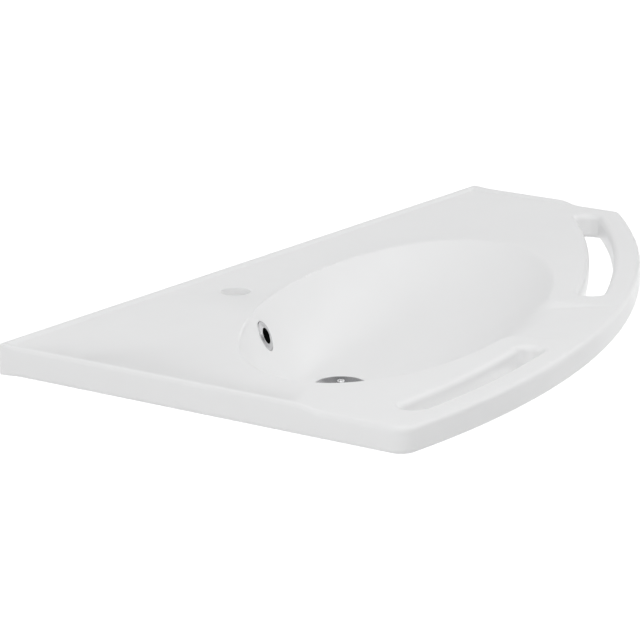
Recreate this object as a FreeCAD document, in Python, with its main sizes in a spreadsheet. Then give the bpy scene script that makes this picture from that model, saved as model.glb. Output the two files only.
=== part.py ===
"""Corner basin in white cast mineral composite, with its waste and overflow.

The frame: X runs along the back wall, +Y points into that wall and +Z up.  The
origin lies on the back face, midway between the two wall fixing holes, and the
tap hole and the waste stand on the line X = 0.  Lengths are in millimetres and
angles in degrees.
"""
import FreeCAD, Part
import math
import os
import re

import Sketcher

Vector = FreeCAD.Vector
UP = Vector(0, 0, 1)
ALONG = Vector(1, 0, 0)
TO_WALL = Vector(0, 1, 0)
UPRIGHT = FreeCAD.Rotation(ALONG, 90)
SIDEWAYS = FreeCAD.Rotation(TO_WALL, UP, ALONG, "ZXY")

# The corners of a sketch start on a circle this large and move when their sizes are bound.
FIRST_RADIUS = 100.0

# %% Sizes

SIZES = {
    # Plan: a straight back, two square sides and one front arc.
    "basin_width": 950.0,
    "left_depth": 538.0,
    "right_depth": 220.0,
    "front_radius": 1240.0,
    "front_left_corner": 22.0,
    "front_right_corner": 13.0,
    "tap_from_left": 345.0,
    # Height: the crest of the lips is the top of the basin.
    "rim_above_bolts": 60.0,
    "rim_height": 35.0,
    "deck_thickness": 14.0,
    "side_wall": 14.0,
    "top_rounding": 6.0,
    "bottom_rounding": 7.0,
    "hollow_corner": 16.0,
    # Lips along the back and the sides, ending in soft steps.
    "lip_height": 4.0,
    "back_lip_width": 9.0,
    "side_lip_width": 11.0,
    "lip_slope": 4.5,
    "left_step_from_wall": 417.0,
    "right_step_from_wall": 149.0,
    "step_run": 12.0,
    "step_rounding": 34.0,
    # Grip slots, concentric with the front arc; each runs from a side to the saddle.
    "grip_width": 46.5,
    "slot_width": 28.6,
    "slot_rounding": 8.0,
    "left_slot_from_side": 77.5,
    "left_slot_from_saddle": 51.6,
    "right_slot_from_saddle": 52.9,
    "right_slot_from_side": 52.1,
    # Bowl: an ellipse at the deck that closes and drifts to the waste as it deepens.
    # It fills the room between its place behind the tap hole and the grip slots.
    "bowl_back_from_tap": 12.6,
    "bowl_back_from_wall": 111.2,
    "bowl_to_slot": 27.1,
    "bowl_half_length": 332.4,
    "bowl_skew": -0.12,
    "bowl_depth": 85.0,
    "bowl_fullness": 1.9,
    "bowl_wall": 12.0,
    "bowl_edge": 3.0,
    # Saddle: the shallow ramp from the front edge down into the bowl.
    "saddle_width": 160.0,
    "saddle_from_front": 13.2,
    "saddle_fall": 5.4,
    "saddle_side_run": 1.9,
    # Holes and the wall fixing.
    "tap_hole_diameter": 35.0,
    "tap_from_wall": 67.0,
    "bolt_spacing": 280.0,
    "bolt_hole_diameter": 14.0,
    "apron_width": 360.0,
    "apron_drop": 28.0,
    "apron_thickness": 14.0,
    "boss_diameter": 40.0,
    "boss_length": 26.0,
    "gusset_reach": 62.0,
    "gusset_thickness": 12.0,
    "gusset_nose": 4.0,
    "gusset_toe": 8.0,
    "root_overlap": 2.0,
    # Waste: flange, gaskets, screw and the body under the bowl.
    "waste_behind_bowl": 43.0,
    "waste_seat_radius": 33.0,
    "waste_hole_diameter": 48.0,
    "flange_diameter": 57.0,
    "flange_thickness": 2.4,
    "dish_radius": 26.0,
    "dish_depth": 4.6,
    "hub_radius": 6.2,
    "hub_below_seat": 0.8,
    "dish_bend": 1.0,
    "plate_thickness": 1.6,
    "strainer_slots": 8.0,
    "strainer_slot_width": 4.5,
    "strainer_slot_inner": 12.0,
    "strainer_slot_outer": 22.0,
    "flange_gasket": 1.2,
    "screw_diameter": 6.0,
    "screw_head_diameter": 8.8,
    "screw_head_height": 3.4,
    "screw_length": 34.0,
    "screw_socket": 4.0,
    "screw_point": 0.5,
    "thread_gap": 0.05,
    "body_gasket": 3.0,
    "body_gasket_width": 9.0,
    "body_flange_diameter": 68.0,
    "body_flange_thickness": 4.0,
    "body_diameter": 56.0,
    "body_height": 24.0,
    "body_wall": 3.0,
    "bush_diameter": 14.0,
    "bush_length": 10.0,
    "bush_below_top": 8.0,
    "web_thickness": 3.0,
    "outlet_diameter": 41.9,
    "outlet_length": 18.0,
    "running_gap": 0.3,
    "cut_margin": 5.0,
    # Overflow: rosette, seals, elbow, hose and its two nuts.
    "overflow_offset": 78.5,
    "overflow_below_deck": 29.2,
    "rosette_diameter": 36.0,
    "rosette_hole": 19.0,
    "rosette_rise": 2.6,
    "rosette_rim": 1.3,
    "rosette_bead": 2.8,
    "rosette_lip": 2.0,
    "sleeve_length": 18.8,
    "sleeve_diameter": 24.0,
    "overflow_hole_diameter": 26.0,
    "overflow_wall": 7.8,
    "overflow_seat_sink": 2.0,
    "seal_thickness": 1.5,
    "elbow_flange_diameter": 40.0,
    "elbow_flange_thickness": 3.5,
    "elbow_diameter": 30.0,
    "elbow_length": 28.0,
    "elbow_bend": 3.0,
    "spigot_diameter": 24.0,
    "spigot_length": 30.0,
    "hose_diameter": 20.0,
    "hose_wall": 1.6,
    "hose_bend": 36.0,
    "hose_seal": 3.0,
    "hose_insertion": 12.0,
    "inlet_below_seat": 14.5,
    "inlet_length": 20.0,
    "nut_diameter": 31.0,
    "nut_length": 18.0,
    "nut_end": 4.0,
    "nut_ribs": 10.0,
    "nut_chamfer": 2.0,
    "nut_groove": 1.6,
    "seal_inset": 0.5,
}

# Sizes worked out from the sheet, kept where the features can refer to them.
DERIVED = {
    "plan_chord": "sqrt(basin_width^2 + (left_depth - right_depth)^2)",
    "arc_reach": "sqrt(front_radius^2 - plan_chord^2 / 4)",
    "arc_x": "basin_width / 2 - tap_from_left - arc_reach * (left_depth - right_depth) / plan_chord",
    "arc_y": "arc_reach * basin_width / plan_chord - (left_depth + right_depth) / 2",
    "left_x": "-tap_from_left",
    "right_x": "basin_width - tap_from_left",
    "reach": "front_radius - arc_y",
    "crest_z": "rim_above_bolts",
    "deck_z": "rim_above_bolts - lip_height",
    "foot_z": "rim_above_bolts - rim_height",
    "ceiling_z": "deck_z - deck_thickness",
    "slot_radius": "front_radius - grip_width",
    "bowl_bearing": "atan2(bowl_back_from_tap - arc_x; arc_y + bowl_back_from_wall) / 1deg",
    "bowl_back_reach": "sqrt((bowl_back_from_tap - arc_x)^2 + (arc_y + bowl_back_from_wall)^2)",
    "bowl_front_reach": "slot_radius - slot_width / 2 - bowl_to_slot",
    "bowl_reach": "(bowl_front_reach + bowl_back_reach) / 2",
    "bowl_half_width": "(bowl_front_reach - bowl_back_reach) / 2",
    "bowl_from_tap": "arc_x + bowl_reach * sin(bowl_bearing)",
    "bowl_from_wall": "bowl_reach * cos(bowl_bearing) - arc_y",
    "bowl_turn": "bowl_bearing + bowl_skew",
    "saddle_mouth": "front_radius - bowl_reach - saddle_from_front",
    "left_slot_start": "asin((left_x + left_slot_from_side - arc_x) / slot_radius) / 1deg",
    "left_slot_end": "bowl_bearing - (saddle_width / 2 + left_slot_from_saddle) / slot_radius * 180 / pi",
    "right_slot_start": "bowl_bearing + (saddle_width / 2 + right_slot_from_saddle) / slot_radius * 180 / pi",
    "right_slot_end": "asin((right_x - right_slot_from_side - arc_x) / slot_radius) / 1deg",
    "waste_from_wall": "bowl_from_wall - waste_behind_bowl",
    "seat_z": "deck_z - bowl_depth",
    "waste_foot_z": "seat_z - bowl_wall",
    "body_top_z": "waste_foot_z - body_gasket",
    "body_foot_z": "body_top_z - body_flange_thickness - body_height",
    "inlet_z": "body_top_z - inlet_below_seat",
}

doc = FreeCAD.newDocument("CornerBasin")
sheet = doc.addObject("Spreadsheet::Sheet", "Sizes")
for row, (size_name, size_value) in enumerate(SIZES.items(), start=1):
    sheet.set(f"A{row}", size_name)
    sheet.set(f"B{row}", str(size_value))
    sheet.setAlias(f"B{row}", size_name)
doc.recompute()


def cells(text):
    """An expression whose size names point at their cell or derived value."""
    def owner(match):
        word = match.group(0)
        if word in SIZES:
            return "Sizes." + word
        if word in DERIVED:
            return "Derived." + word
        return word
    return re.sub(r"[a-z][a-z_]+", owner, str(text))


derived = doc.addObject("App::VarSet", "Derived")
for size_name, text in DERIVED.items():
    derived.addProperty("App::PropertyFloat", size_name, "Derived", "")
    derived.setExpression(size_name, cells(text))
doc.recompute()


def size(name):
    """The present value of a size in the sheet or of a derived one."""
    if name in SIZES:
        return float(sheet.get(name))
    return getattr(derived, name)


# %% Feature helpers

def bind(item, **sizes):
    """Tie properties of a feature to expressions on the sheet."""
    for name, text in sizes.items():
        item.setExpression(name, cells(text))
    return item


def place(item, at, axis=UP, angle=0):
    """Turn a feature about an axis by an expression and put it at bound coordinates."""
    item.Placement = FreeCAD.Placement(Vector(), FreeCAD.Rotation(axis, 1))
    item.setExpression("Placement.Rotation.Angle", cells(angle))
    for letter, text in zip("xyz", at):
        item.setExpression("Placement.Base." + letter, cells(text))
    return item


def primitive(kind, name, at=(0, 0, 0), axis=UP, angle=0, **sizes):
    """A Part primitive with its sizes and place bound to the sheet."""
    item = doc.addObject("Part::" + kind, name)
    bind(item, **sizes)
    return place(item, at, axis, angle)


def box(name, low, high):
    """A box between two bound corners."""
    spans = [f"({top}) - ({bottom})" for bottom, top in zip(low, high)]
    return primitive("Box", name, low, Length=spans[0], Width=spans[1], Height=spans[2])


def cylinder(name, radius, height, at=(0, 0, 0), axis=UP, angle=0, sector=360):
    """A cylinder, or a sector of one, that stands on its place."""
    item = primitive("Cylinder", name, at, axis, angle, Radius=radius, Height=height)
    return bind(item, Angle=sector)


def joined(name, *items):
    """The union of several features."""
    item = doc.addObject("Part::MultiFuse", name)
    item.Shapes = list(items)
    return item


def without(name, base, *tools):
    """A feature less one or more others."""
    item = doc.addObject("Part::Cut", name)
    item.Base = base
    item.Tool = tools[0] if len(tools) == 1 else joined(name + "_tools", *tools)
    return item


def overlap(name, base, tool):
    """What two features have in common."""
    item = doc.addObject("Part::Common", name)
    item.Base = base
    item.Tool = tool
    return item


def outline(name, corners):
    """A closed sketch of straight lines, with every corner bound to the sheet."""
    sketch = doc.addObject("Sketcher::SketchObject", name)
    count = len(corners)
    turn = 2 * math.pi / count
    ring = [Vector(math.cos(turn * i), math.sin(turn * i), 0) * FIRST_RADIUS for i in range(count)]
    for i in range(count):
        sketch.addGeometry(Part.LineSegment(ring[i], ring[(i + 1) % count]), False)
    for i in range(count):
        sketch.addConstraint(Sketcher.Constraint("Coincident", i, 2, (i + 1) % count, 1))
    for i, (across, up) in enumerate(corners):
        for kind, text, start in (("DistanceX", across, ring[i].x), ("DistanceY", up, ring[i].y)):
            number = sketch.addConstraint(Sketcher.Constraint(kind, -1, 1, i, 1, start))
            sketch.setExpression(f"Constraints[{number}]", cells(text))
    return sketch


def extruded(name, sketch, length):
    """A sketch drawn out square to its plane."""
    item = doc.addObject("Part::Extrusion", name)
    item.Base = sketch
    item.DirMode = "Normal"
    item.Solid = True
    return bind(item, LengthFwd=length)


def turned(name, corners, at=(0, 0, 0)):
    """A profile of (radius, height) corners revolved about its vertical axis."""
    sketch = outline(name + "_profile", corners)
    sketch.Placement = FreeCAD.Placement(Vector(), UPRIGHT)
    item = doc.addObject("Part::Revolution", name)
    item.Source = sketch
    item.Axis = UP
    item.Angle = 360
    item.Solid = True
    for letter, text in zip("xyz", at or ()):
        item.setExpression("Placement.Base." + letter, cells(text))
    return item


def rounded(name, base, choose):
    """Fillet each edge for which choose(edge) gives a radius."""
    doc.recompute()
    radii = [(number, choose(edge)) for number, edge in enumerate(base.Shape.Edges, start=1)]
    item = doc.addObject("Part::Fillet", name)
    item.Base = base
    item.Edges = [(number, radius, radius) for number, radius in radii if radius]
    return item


def near(first, second):
    """Whether two lengths agree within a twentieth of a millimetre."""
    return abs(first - second) < 0.05


def middle_of(edge):
    """The point halfway along an edge."""
    return edge.valueAt((edge.FirstParameter + edge.LastParameter) / 2)


def heights(edge):
    """The lowest and highest point of an edge."""
    bounds = edge.BoundBox
    return bounds.ZMin, bounds.ZMax


def arc_distance(point):
    """How far a point stands from the axis of the front arc."""
    return math.hypot(point.x - size("arc_x"), point.y - size("arc_y"))


# %% Basin: the plan and its lips

def plan_blank():
    """The full-height slab: a box trimmed by the front arc, with rounded corners."""
    blank = box("blank", ("left_x", "-reach - side_wall", "foot_z"), ("right_x", "0", "crest_z"))
    sweep = cylinder("front_sweep", "front_radius", "rim_height", ("arc_x", "arc_y", "foot_z"))
    plan = overlap("plan", blank, sweep)

    def corner_radius(edge):
        low, high = heights(edge)
        if not near(high - low, size("rim_height")):
            return 0
        corner = edge.Vertexes[0].Point
        if near(corner.y, 0):
            return 0
        return size("front_left_corner" if near(corner.x, size("left_x")) else "front_right_corner")

    return rounded("plan_corners", plan, corner_radius)


def deck_recess():
    """A shallow tray between the lips; its sides lean out by the lips' slope."""
    tray = doc.addObject("Part::Wedge", "deck_recess")
    bind(tray, Xmin="side_lip_width", Xmax="basin_width - side_lip_width",
         X2min="side_lip_width - 2 * lip_slope", X2max="basin_width - side_lip_width + 2 * lip_slope",
         Zmin="back_lip_width", Zmax="2 * front_radius",
         Z2min="back_lip_width - 2 * lip_slope", Z2max="2 * front_radius",
         Ymin="0", Ymax="2 * lip_height")
    return place(tray, ("left_x", "0", "deck_z"), ALONG, 90)


def lip_step(name, start, length, step):
    """The cutter in front of one lip's end: a slope with both edges softened."""
    far = "-2 * front_radius"
    top = "lip_height + cut_margin"
    sketch = outline(name + "_profile", (
        (far, "0"),
        (f"-{step} - step_run / 2", "0"),
        (f"-{step} + step_run / 2", "lip_height"),
        (f"-{step} + 2 * step_run", "lip_height"),
        (f"-{step} + 2 * step_run", top),
        (far, top),
    ))
    sketch.Placement = FreeCAD.Placement(Vector(), SIDEWAYS)
    cutter = extruded(name + "_cutter", sketch, length)
    for letter, text in zip("xyz", (start, "0", "deck_z")):
        cutter.setExpression("Placement.Base." + letter, cells(text))

    def step_radius(edge):
        runs_across = edge.BoundBox.XLength > 1
        from_step = abs(edge.Vertexes[0].Point.y + size(step))
        low_enough = heights(edge)[1] < size("crest_z") + 1
        on_slope = near(from_step, size("step_run") / 2)
        return size("step_rounding") if runs_across and on_slope and low_enough else 0

    return rounded(name, cutter, step_radius)


def slab():
    """The rim slab with its lips, its steps and its rounded outer edges."""
    across = "side_lip_width + 2 * cut_margin"
    tools = (
        deck_recess(),
        lip_step("left_step", "left_x - cut_margin", across, "left_step_from_wall"),
        lip_step("right_step", "right_x - side_lip_width - cut_margin", across,
                 "right_step_from_wall"),
    )
    rim = without("rim", plan_blank(), *tools)

    def outer_radius(edge):
        low, high = heights(edge)
        middle = middle_of(edge)
        ends = [vertex.Point for vertex in edge.Vertexes]
        on_side = all(near(point.x, middle.x) for point in ends) and (
            near(middle.x, size("left_x")) or near(middle.x, size("right_x")))
        level_arc = isinstance(edge.Curve, Part.Circle) and high - low < 0.1
        if middle.y > -0.5 or high - low > size("lip_height") + 1 or not (on_side or level_arc):
            return 0
        return size("bottom_rounding" if near(low, size("foot_z")) else "top_rounding")

    return rounded("rim_rounded", rim, outer_radius)


# %% Basin: the bowl

RINGS = (1.0, 0.9, 0.78, 0.65, 0.5, 0.35, 0.18, 0.0)


def bowl_loft(name, wall, top):
    """The bowl's form, grown by a wall: ellipses that shrink and drift to the waste."""
    rings = []
    for number, share in enumerate(RINGS):
        depth = f"(bowl_depth + {wall} - {top}) * (1 - {share}^bowl_fullness)"
        at = (f"bowl_from_tap * {share}",
              f"-bowl_from_wall * {share} - waste_from_wall * (1 - {share})",
              f"deck_z - {top} - {depth}")
        ring = primitive(
            "Ellipse", f"{name}_ring_{number}", at, UP, "bowl_turn",
            MajorRadius=f"waste_seat_radius + (bowl_half_length - waste_seat_radius) * {share} + {wall}",
            MinorRadius=f"waste_seat_radius + (bowl_half_width - waste_seat_radius) * {share} + {wall}")
        rings.append(ring)
    loft = doc.addObject("Part::Loft", name)
    loft.Sections = rings
    loft.Solid = True
    loft.Ruled = False
    return loft


def bowl_frame(item, across="0", along="0", height="0"):
    """Put a feature in the bowl's own axes: across is the long one, along points to the wall."""
    at = (f"bowl_from_tap + ({across}) * cos(bowl_turn) - ({along}) * sin(bowl_turn)",
          f"-bowl_from_wall + ({across}) * sin(bowl_turn) + ({along}) * cos(bowl_turn)",
          height)
    return place(item, at, UP, "bowl_turn")


def saddle_section(name, along):
    """One upright section of the saddle cutter: floor, leaning sides and open top."""
    depth = f"(-saddle_mouth - ({along})) * tan(saddle_fall)"
    floor_half = f"saddle_width / 2 + saddle_side_run * ({depth})"
    top_half = "saddle_width / 2 + saddle_side_run * 4 * cut_margin"
    sketch = outline(name, (
        (f"-({floor_half})", depth),
        (floor_half, depth),
        (top_half, "4 * cut_margin"),
        (f"-({top_half})", "4 * cut_margin"),
    ))
    turn = FreeCAD.Rotation(UP, size("bowl_turn")).multiply(UPRIGHT)
    sketch.Placement = FreeCAD.Placement(Vector(), turn)
    at = (f"bowl_from_tap - ({along}) * sin(bowl_turn)",
          f"-bowl_from_wall + ({along}) * cos(bowl_turn)",
          "deck_z")
    for letter, text in zip("xyz", at):
        sketch.setExpression("Placement.Base." + letter, cells(text))
    return sketch


def saddle_cutter():
    """The ramp between the two grips, level with the deck at the front edge."""
    loft = doc.addObject("Part::Loft", "saddle_cutter")
    loft.Sections = [saddle_section("saddle_outside", "-saddle_mouth - 12 * cut_margin"),
                     saddle_section("saddle_inside", "-bowl_half_width / 2")]
    loft.Solid = True
    loft.Ruled = True
    return loft


# %% Basin: slots, hollow and wall fixing

def slot_cutter(side):
    """A slot that follows the front arc, with half-round ends."""
    start = f"{side}_slot_start"
    end = f"{side}_slot_end"
    span = f"{end} - {start}"
    base = ("arc_x", "arc_y", "foot_z - cut_margin")
    height = "rim_height + 2 * cut_margin"
    outer = cylinder(f"{side}_slot_outer", "slot_radius + slot_width / 2", height,
                     base, UP, f"{start} - 90", span)
    inner = cylinder(f"{side}_slot_inner", "slot_radius - slot_width / 2", height,
                     base, UP, f"{start} - 90", span)
    pieces = [without(f"{side}_slot_arc", outer, inner)]
    for number, turn in enumerate((start, end)):
        at = (f"arc_x + slot_radius * sin({turn})", f"arc_y - slot_radius * cos({turn})", base[2])
        pieces.append(cylinder(f"{side}_slot_end_{number}", "slot_width / 2", height, at))
    return joined(f"{side}_slot", *pieces)


def hollow():
    """The space under the deck, inside the rim walls and round the saddle's bed."""
    room = box("hollow_room",
               ("left_x + side_wall", "-reach", "foot_z - cut_margin"),
               ("right_x - side_wall", "-side_wall", "ceiling_z"))
    limit = cylinder("hollow_limit", "slot_radius - slot_width / 2 - side_wall",
                     "rim_height", ("arc_x", "arc_y", "foot_z - cut_margin"))
    trimmed = overlap("hollow_plan", room, limit)

    def corner_radius(edge):
        low, high = heights(edge)
        return size("hollow_corner") if high - low > 1 else 0

    cleared = rounded("hollow_corners", trimmed, corner_radius)
    keep = doc.addObject("Part::Box", "hollow_bridge")
    half = "saddle_width / 2 + side_wall"
    bind(keep, Length=f"2 * ({half})", Width="saddle_mouth", Height="rim_height + 2 * cut_margin")
    bowl_frame(keep, f"-({half})", "-saddle_mouth", "foot_z - cut_margin")
    return cleared, keep


def apron():
    """The upright plate under the back edge, with two bosses and two gussets."""
    foot = "-apron_drop"
    parts = [box("apron_plate", ("-apron_width / 2", "-apron_thickness", foot),
                 ("apron_width / 2", "0", "ceiling_z + root_overlap"))]
    for number, side in enumerate((-1, 1)):
        parts.append(cylinder(f"fixing_boss_{number}", "boss_diameter / 2", "boss_length",
                              (f"{side} * bolt_spacing / 2", "0", "0"), ALONG, 90))
        sketch = outline(f"gusset_profile_{number}", (
            ("0", "ceiling_z + root_overlap"),
            ("-gusset_reach", "ceiling_z + root_overlap"),
            ("-gusset_reach", "ceiling_z - gusset_nose"),
            ("-apron_thickness", foot + " + gusset_toe"),
            ("0", foot + " + gusset_toe"),
        ))
        sketch.Placement = FreeCAD.Placement(Vector(), SIDEWAYS)
        gusset = extruded(f"gusset_{number}", sketch, "gusset_thickness")
        shift = "-apron_width / 2" if side < 0 else "apron_width / 2 - gusset_thickness"
        gusset.setExpression("Placement.Base.x", cells(shift))
        parts.append(gusset)
    return joined("apron", *parts)


def holes():
    """The tap hole, the two fixing holes and the waste hole with its sunk seat."""
    deep = "2 * cut_margin"
    cutters = [
        cylinder("tap_hole", "tap_hole_diameter / 2", f"deck_thickness + {deep}",
                 ("0", "-tap_from_wall", "ceiling_z - cut_margin")),
        cylinder("waste_hole", "waste_hole_diameter / 2", f"bowl_wall + {deep}",
                 ("0", "-waste_from_wall", "waste_foot_z - cut_margin")),
        cylinder("waste_seat", "flange_diameter / 2 + running_gap",
                 "flange_thickness + flange_gasket + cut_margin",
                 ("0", "-waste_from_wall", "seat_z - flange_thickness - flange_gasket")),
    ]
    for number, side in enumerate((-1, 1)):
        at = (f"{side} * bolt_spacing / 2", "cut_margin", "0")
        cutters.append(cylinder(f"fixing_hole_{number}", "bolt_hole_diameter / 2",
                                f"boss_length + {deep}", at, ALONG, 90))
    return cutters


# %% Overflow seat

def bowl_point(share, turn):
    """A point of the bowl's inner face: its ring by share, its place on the ring by angle."""
    seat = size("waste_seat_radius")
    across = (seat + (size("bowl_half_length") - seat) * share) * math.cos(turn)
    along = (seat + (size("bowl_half_width") - seat) * share) * math.sin(turn)
    tilt = math.radians(size("bowl_turn"))
    middle_x = size("bowl_from_tap") * share
    middle_y = -size("bowl_from_wall") * share - size("waste_from_wall") * (1 - share)
    depth = size("bowl_depth") * (1 - share ** size("bowl_fullness"))
    return Vector(middle_x + across * math.cos(tilt) - along * math.sin(tilt),
                  middle_y + across * math.sin(tilt) + along * math.cos(tilt),
                  size("deck_z") - depth)


def overflow_seat():
    """The placement of the overflow: its Z axis points squarely out of the bowl's wall."""
    share = (1 - size("overflow_below_deck") / size("bowl_depth")) ** (1 / size("bowl_fullness"))
    turn = math.pi / 2 + math.asin(size("overflow_offset") / size("bowl_half_length"))
    small = 0.001
    centre = bowl_point(share, turn)
    round_ring = bowl_point(share, turn + small) - centre
    down_wall = bowl_point(share - small, turn) - centre
    outward = down_wall.cross(round_ring)
    outward.normalize()
    if outward.z < 0:
        outward = outward * -1
    return FreeCAD.Placement(centre - outward * size("overflow_seat_sink"),
                             FreeCAD.Rotation(UP, outward))


def loose_cylinder(name, radius, height, placement):
    """A cylinder with bound sizes whose placement is worked out here."""
    item = doc.addObject("Part::Cylinder", name)
    bind(item, Radius=radius, Height=height)
    item.Placement = placement
    return item


def overflow_cutters(seat):
    """The hole through the bowl's wall and a flat seat on each of its faces."""
    def on_axis(shift):
        return seat.multiply(FreeCAD.Placement(UP * shift, FreeCAD.Rotation()))

    wall, margin = size("overflow_wall"), size("cut_margin")
    return [
        loose_cylinder("overflow_hole", "overflow_hole_diameter / 2",
                       "overflow_wall + 2 * cut_margin", on_axis(-wall - margin)),
        loose_cylinder("overflow_inner_seat", "rosette_diameter / 2 + running_gap",
                       "2 * cut_margin", on_axis(0)),
        loose_cylinder("overflow_outer_seat", "elbow_flange_diameter / 2 + running_gap",
                       "elbow_length * 2", on_axis(-wall - 2 * size("elbow_length"))),
    ]


# %% Basin: the whole casting

def slot_edge(middle):
    """Whether a point lies on the plan outline of either grip slot."""
    half = size("slot_width") / 2
    from_arc = abs(arc_distance(middle) - size("slot_radius"))
    if from_arc > half + 0.05:
        return False
    turn = math.degrees(math.atan2(middle.x - size("arc_x"), size("arc_y") - middle.y))
    for side in ("left", "right"):
        start = size(f"{side}_slot_start")
        end = size(f"{side}_slot_end")
        if start <= turn <= end and near(from_arc, half):
            return True
        for at in (start, end):
            centre = Vector(size("arc_x") + size("slot_radius") * math.sin(math.radians(at)),
                            size("arc_y") - size("slot_radius") * math.cos(math.radians(at)), middle.z)
            if near(middle.distanceToPoint(centre), half):
                return True
    return False


def bowl_rim_edge(middle):
    """Whether a point at deck height lies on the bowl's rim ellipse."""
    tilt = math.radians(size("bowl_turn"))
    x = middle.x - size("bowl_from_tap")
    y = middle.y + size("bowl_from_wall")
    across = (x * math.cos(tilt) + y * math.sin(tilt)) / size("bowl_half_length")
    along = (y * math.cos(tilt) - x * math.sin(tilt)) / size("bowl_half_width")
    return abs(math.hypot(across, along) - 1) < 0.001


def basin():
    """One casting: rim, bowl shell and apron, less the bowl, the saddle, slots and holes."""
    cleared, bridge = hollow()
    under = without("hollow", cleared, bridge)
    rim = without("rim_hollowed", slab(), under)
    body = joined("casting", rim, bowl_loft("bowl_shell", "bowl_wall", "top_rounding"), apron())
    cutters = [bowl_loft("bowl_inside", "0", "0"), saddle_cutter(),
               slot_cutter("left"), slot_cutter("right")]
    cutters += holes()
    cutters += overflow_cutters(overflow_seat())
    cut = without("casting_cut", body, *cutters)

    def edge_radius(edge):
        low, high = heights(edge)
        if high - low > 0.1:
            return 0
        middle = middle_of(edge)
        on_deck = near(low, size("deck_z"))
        on_foot = near(low, size("foot_z"))
        if (on_deck or on_foot) and slot_edge(middle):
            return size("slot_rounding")
        if on_deck and bowl_rim_edge(middle):
            return size("bowl_edge")
        return 0

    return rounded("basin", cut, edge_radius)


# %% Waste

AT_WASTE = ("0", "-waste_from_wall", "0")


def around(name, count, make):
    """The union of copies that make(number, angle) builds evenly about an axis."""
    items = [make(number, f"{number} * 360 / {count}") for number in range(count)]
    return joined(name, *items)


def waste_strainer():
    """A funnel-shaped pressing with a rolled edge, radial slots and a raised hub."""
    edge = "flange_diameter / 2"
    bore = "screw_diameter / 2 + running_gap"
    low = "seat_z - dish_depth"
    hub = "seat_z - hub_below_seat"
    foot = "seat_z - flange_thickness"
    seat = "waste_hole_diameter / 2"
    plate = turned("strainer_plate", (
        (seat, foot),
        (edge, foot),
        (edge, "seat_z - flange_thickness / 2"),
        (f"{edge} - flange_thickness / 4", "seat_z - flange_thickness / 8"),
        (f"{edge} - flange_thickness / 2", "seat_z"),
        ("dish_radius", "seat_z - flange_thickness / 4"),
        ("strainer_slot_inner + 2 * dish_bend", low),
        ("strainer_slot_inner - dish_bend", low),
        ("hub_radius + 1.5 * dish_bend", f"{hub} - dish_bend"),
        ("hub_radius", hub),
        (bore, hub),
        (bore, f"{hub} - plate_thickness"),
        ("hub_radius - dish_bend / 2", f"{hub} - plate_thickness"),
        ("strainer_slot_inner - 2 * dish_bend", f"{low} - plate_thickness"),
        ("strainer_slot_inner + 2 * dish_bend", f"{low} - plate_thickness"),
    ), AT_WASTE)

    def slot(number, angle):
        return primitive("Box", f"strainer_slot_{number}",
                         (f"strainer_slot_width / 2 * sin({angle})",
                          f"-waste_from_wall - strainer_slot_width / 2 * cos({angle})",
                          f"{low} - cut_margin"),
                         UP, angle, Length="strainer_slot_outer", Width="strainer_slot_width",
                         Height="dish_depth + 2 * cut_margin")

    rays = around("strainer_rays", int(size("strainer_slots")), slot)
    core = cylinder("strainer_core", "strainer_slot_inner", "dish_depth + 4 * cut_margin",
                    ("0", "-waste_from_wall", f"{low} - 2 * cut_margin"))
    return without("waste_strainer", plate, without("strainer_slots_cut", rays, core))


def ring(name, outer, inner, low, high, at=AT_WASTE):
    """A flat ring between two heights."""
    return turned(name, ((inner, low), (outer, low), (outer, high), (inner, high)), at)


def waste_screw():
    """The screw that draws strainer and body together, with a domed head."""
    foot = "seat_z - hub_below_seat"
    head = "screw_head_diameter / 2"
    screw = turned("screw_blank", (
        ("0", foot + " - screw_length"),
        ("screw_diameter / 2 - screw_point", foot + " - screw_length"),
        ("screw_diameter / 2", foot + " - screw_length + screw_point"),
        ("screw_diameter / 2", foot),
        (head, foot),
        (head, foot + " + screw_head_height * 0.45"),
        (f"{head} * 0.9", foot + " + screw_head_height * 0.72"),
        (f"{head} * 0.72", foot + " + screw_head_height * 0.92"),
        (f"{head} * 0.5", foot + " + screw_head_height"),
        ("0", foot + " + screw_head_height"),
    ), AT_WASTE)
    key = primitive("Prism", "screw_key", ("0", "-waste_from_wall", foot + " + screw_head_height / 3"),
                    Polygon="6", Circumradius="screw_socket / 2", Height="screw_head_height")
    return without("waste_screw", screw, key)


def inlet_turn():
    """The direction from the waste to the overflow elbow, in degrees from +X."""
    elbow = elbow_centre()
    return math.degrees(math.atan2(elbow.y + size("waste_from_wall"), elbow.x))


def inlet_placement(reach):
    """A placement on the side inlet's axis, at a distance from the waste's axis."""
    turn = math.radians(inlet_turn())
    outward = Vector(math.cos(turn), math.sin(turn), 0)
    centre = Vector(0, -size("waste_from_wall"), size("inlet_z"))
    return FreeCAD.Placement(centre + outward * reach, FreeCAD.Rotation(UP, outward))


def inlet_end():
    """How far the mouth of the side inlet stands from the waste's axis."""
    return size("body_diameter") / 2 + size("inlet_length")


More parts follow.
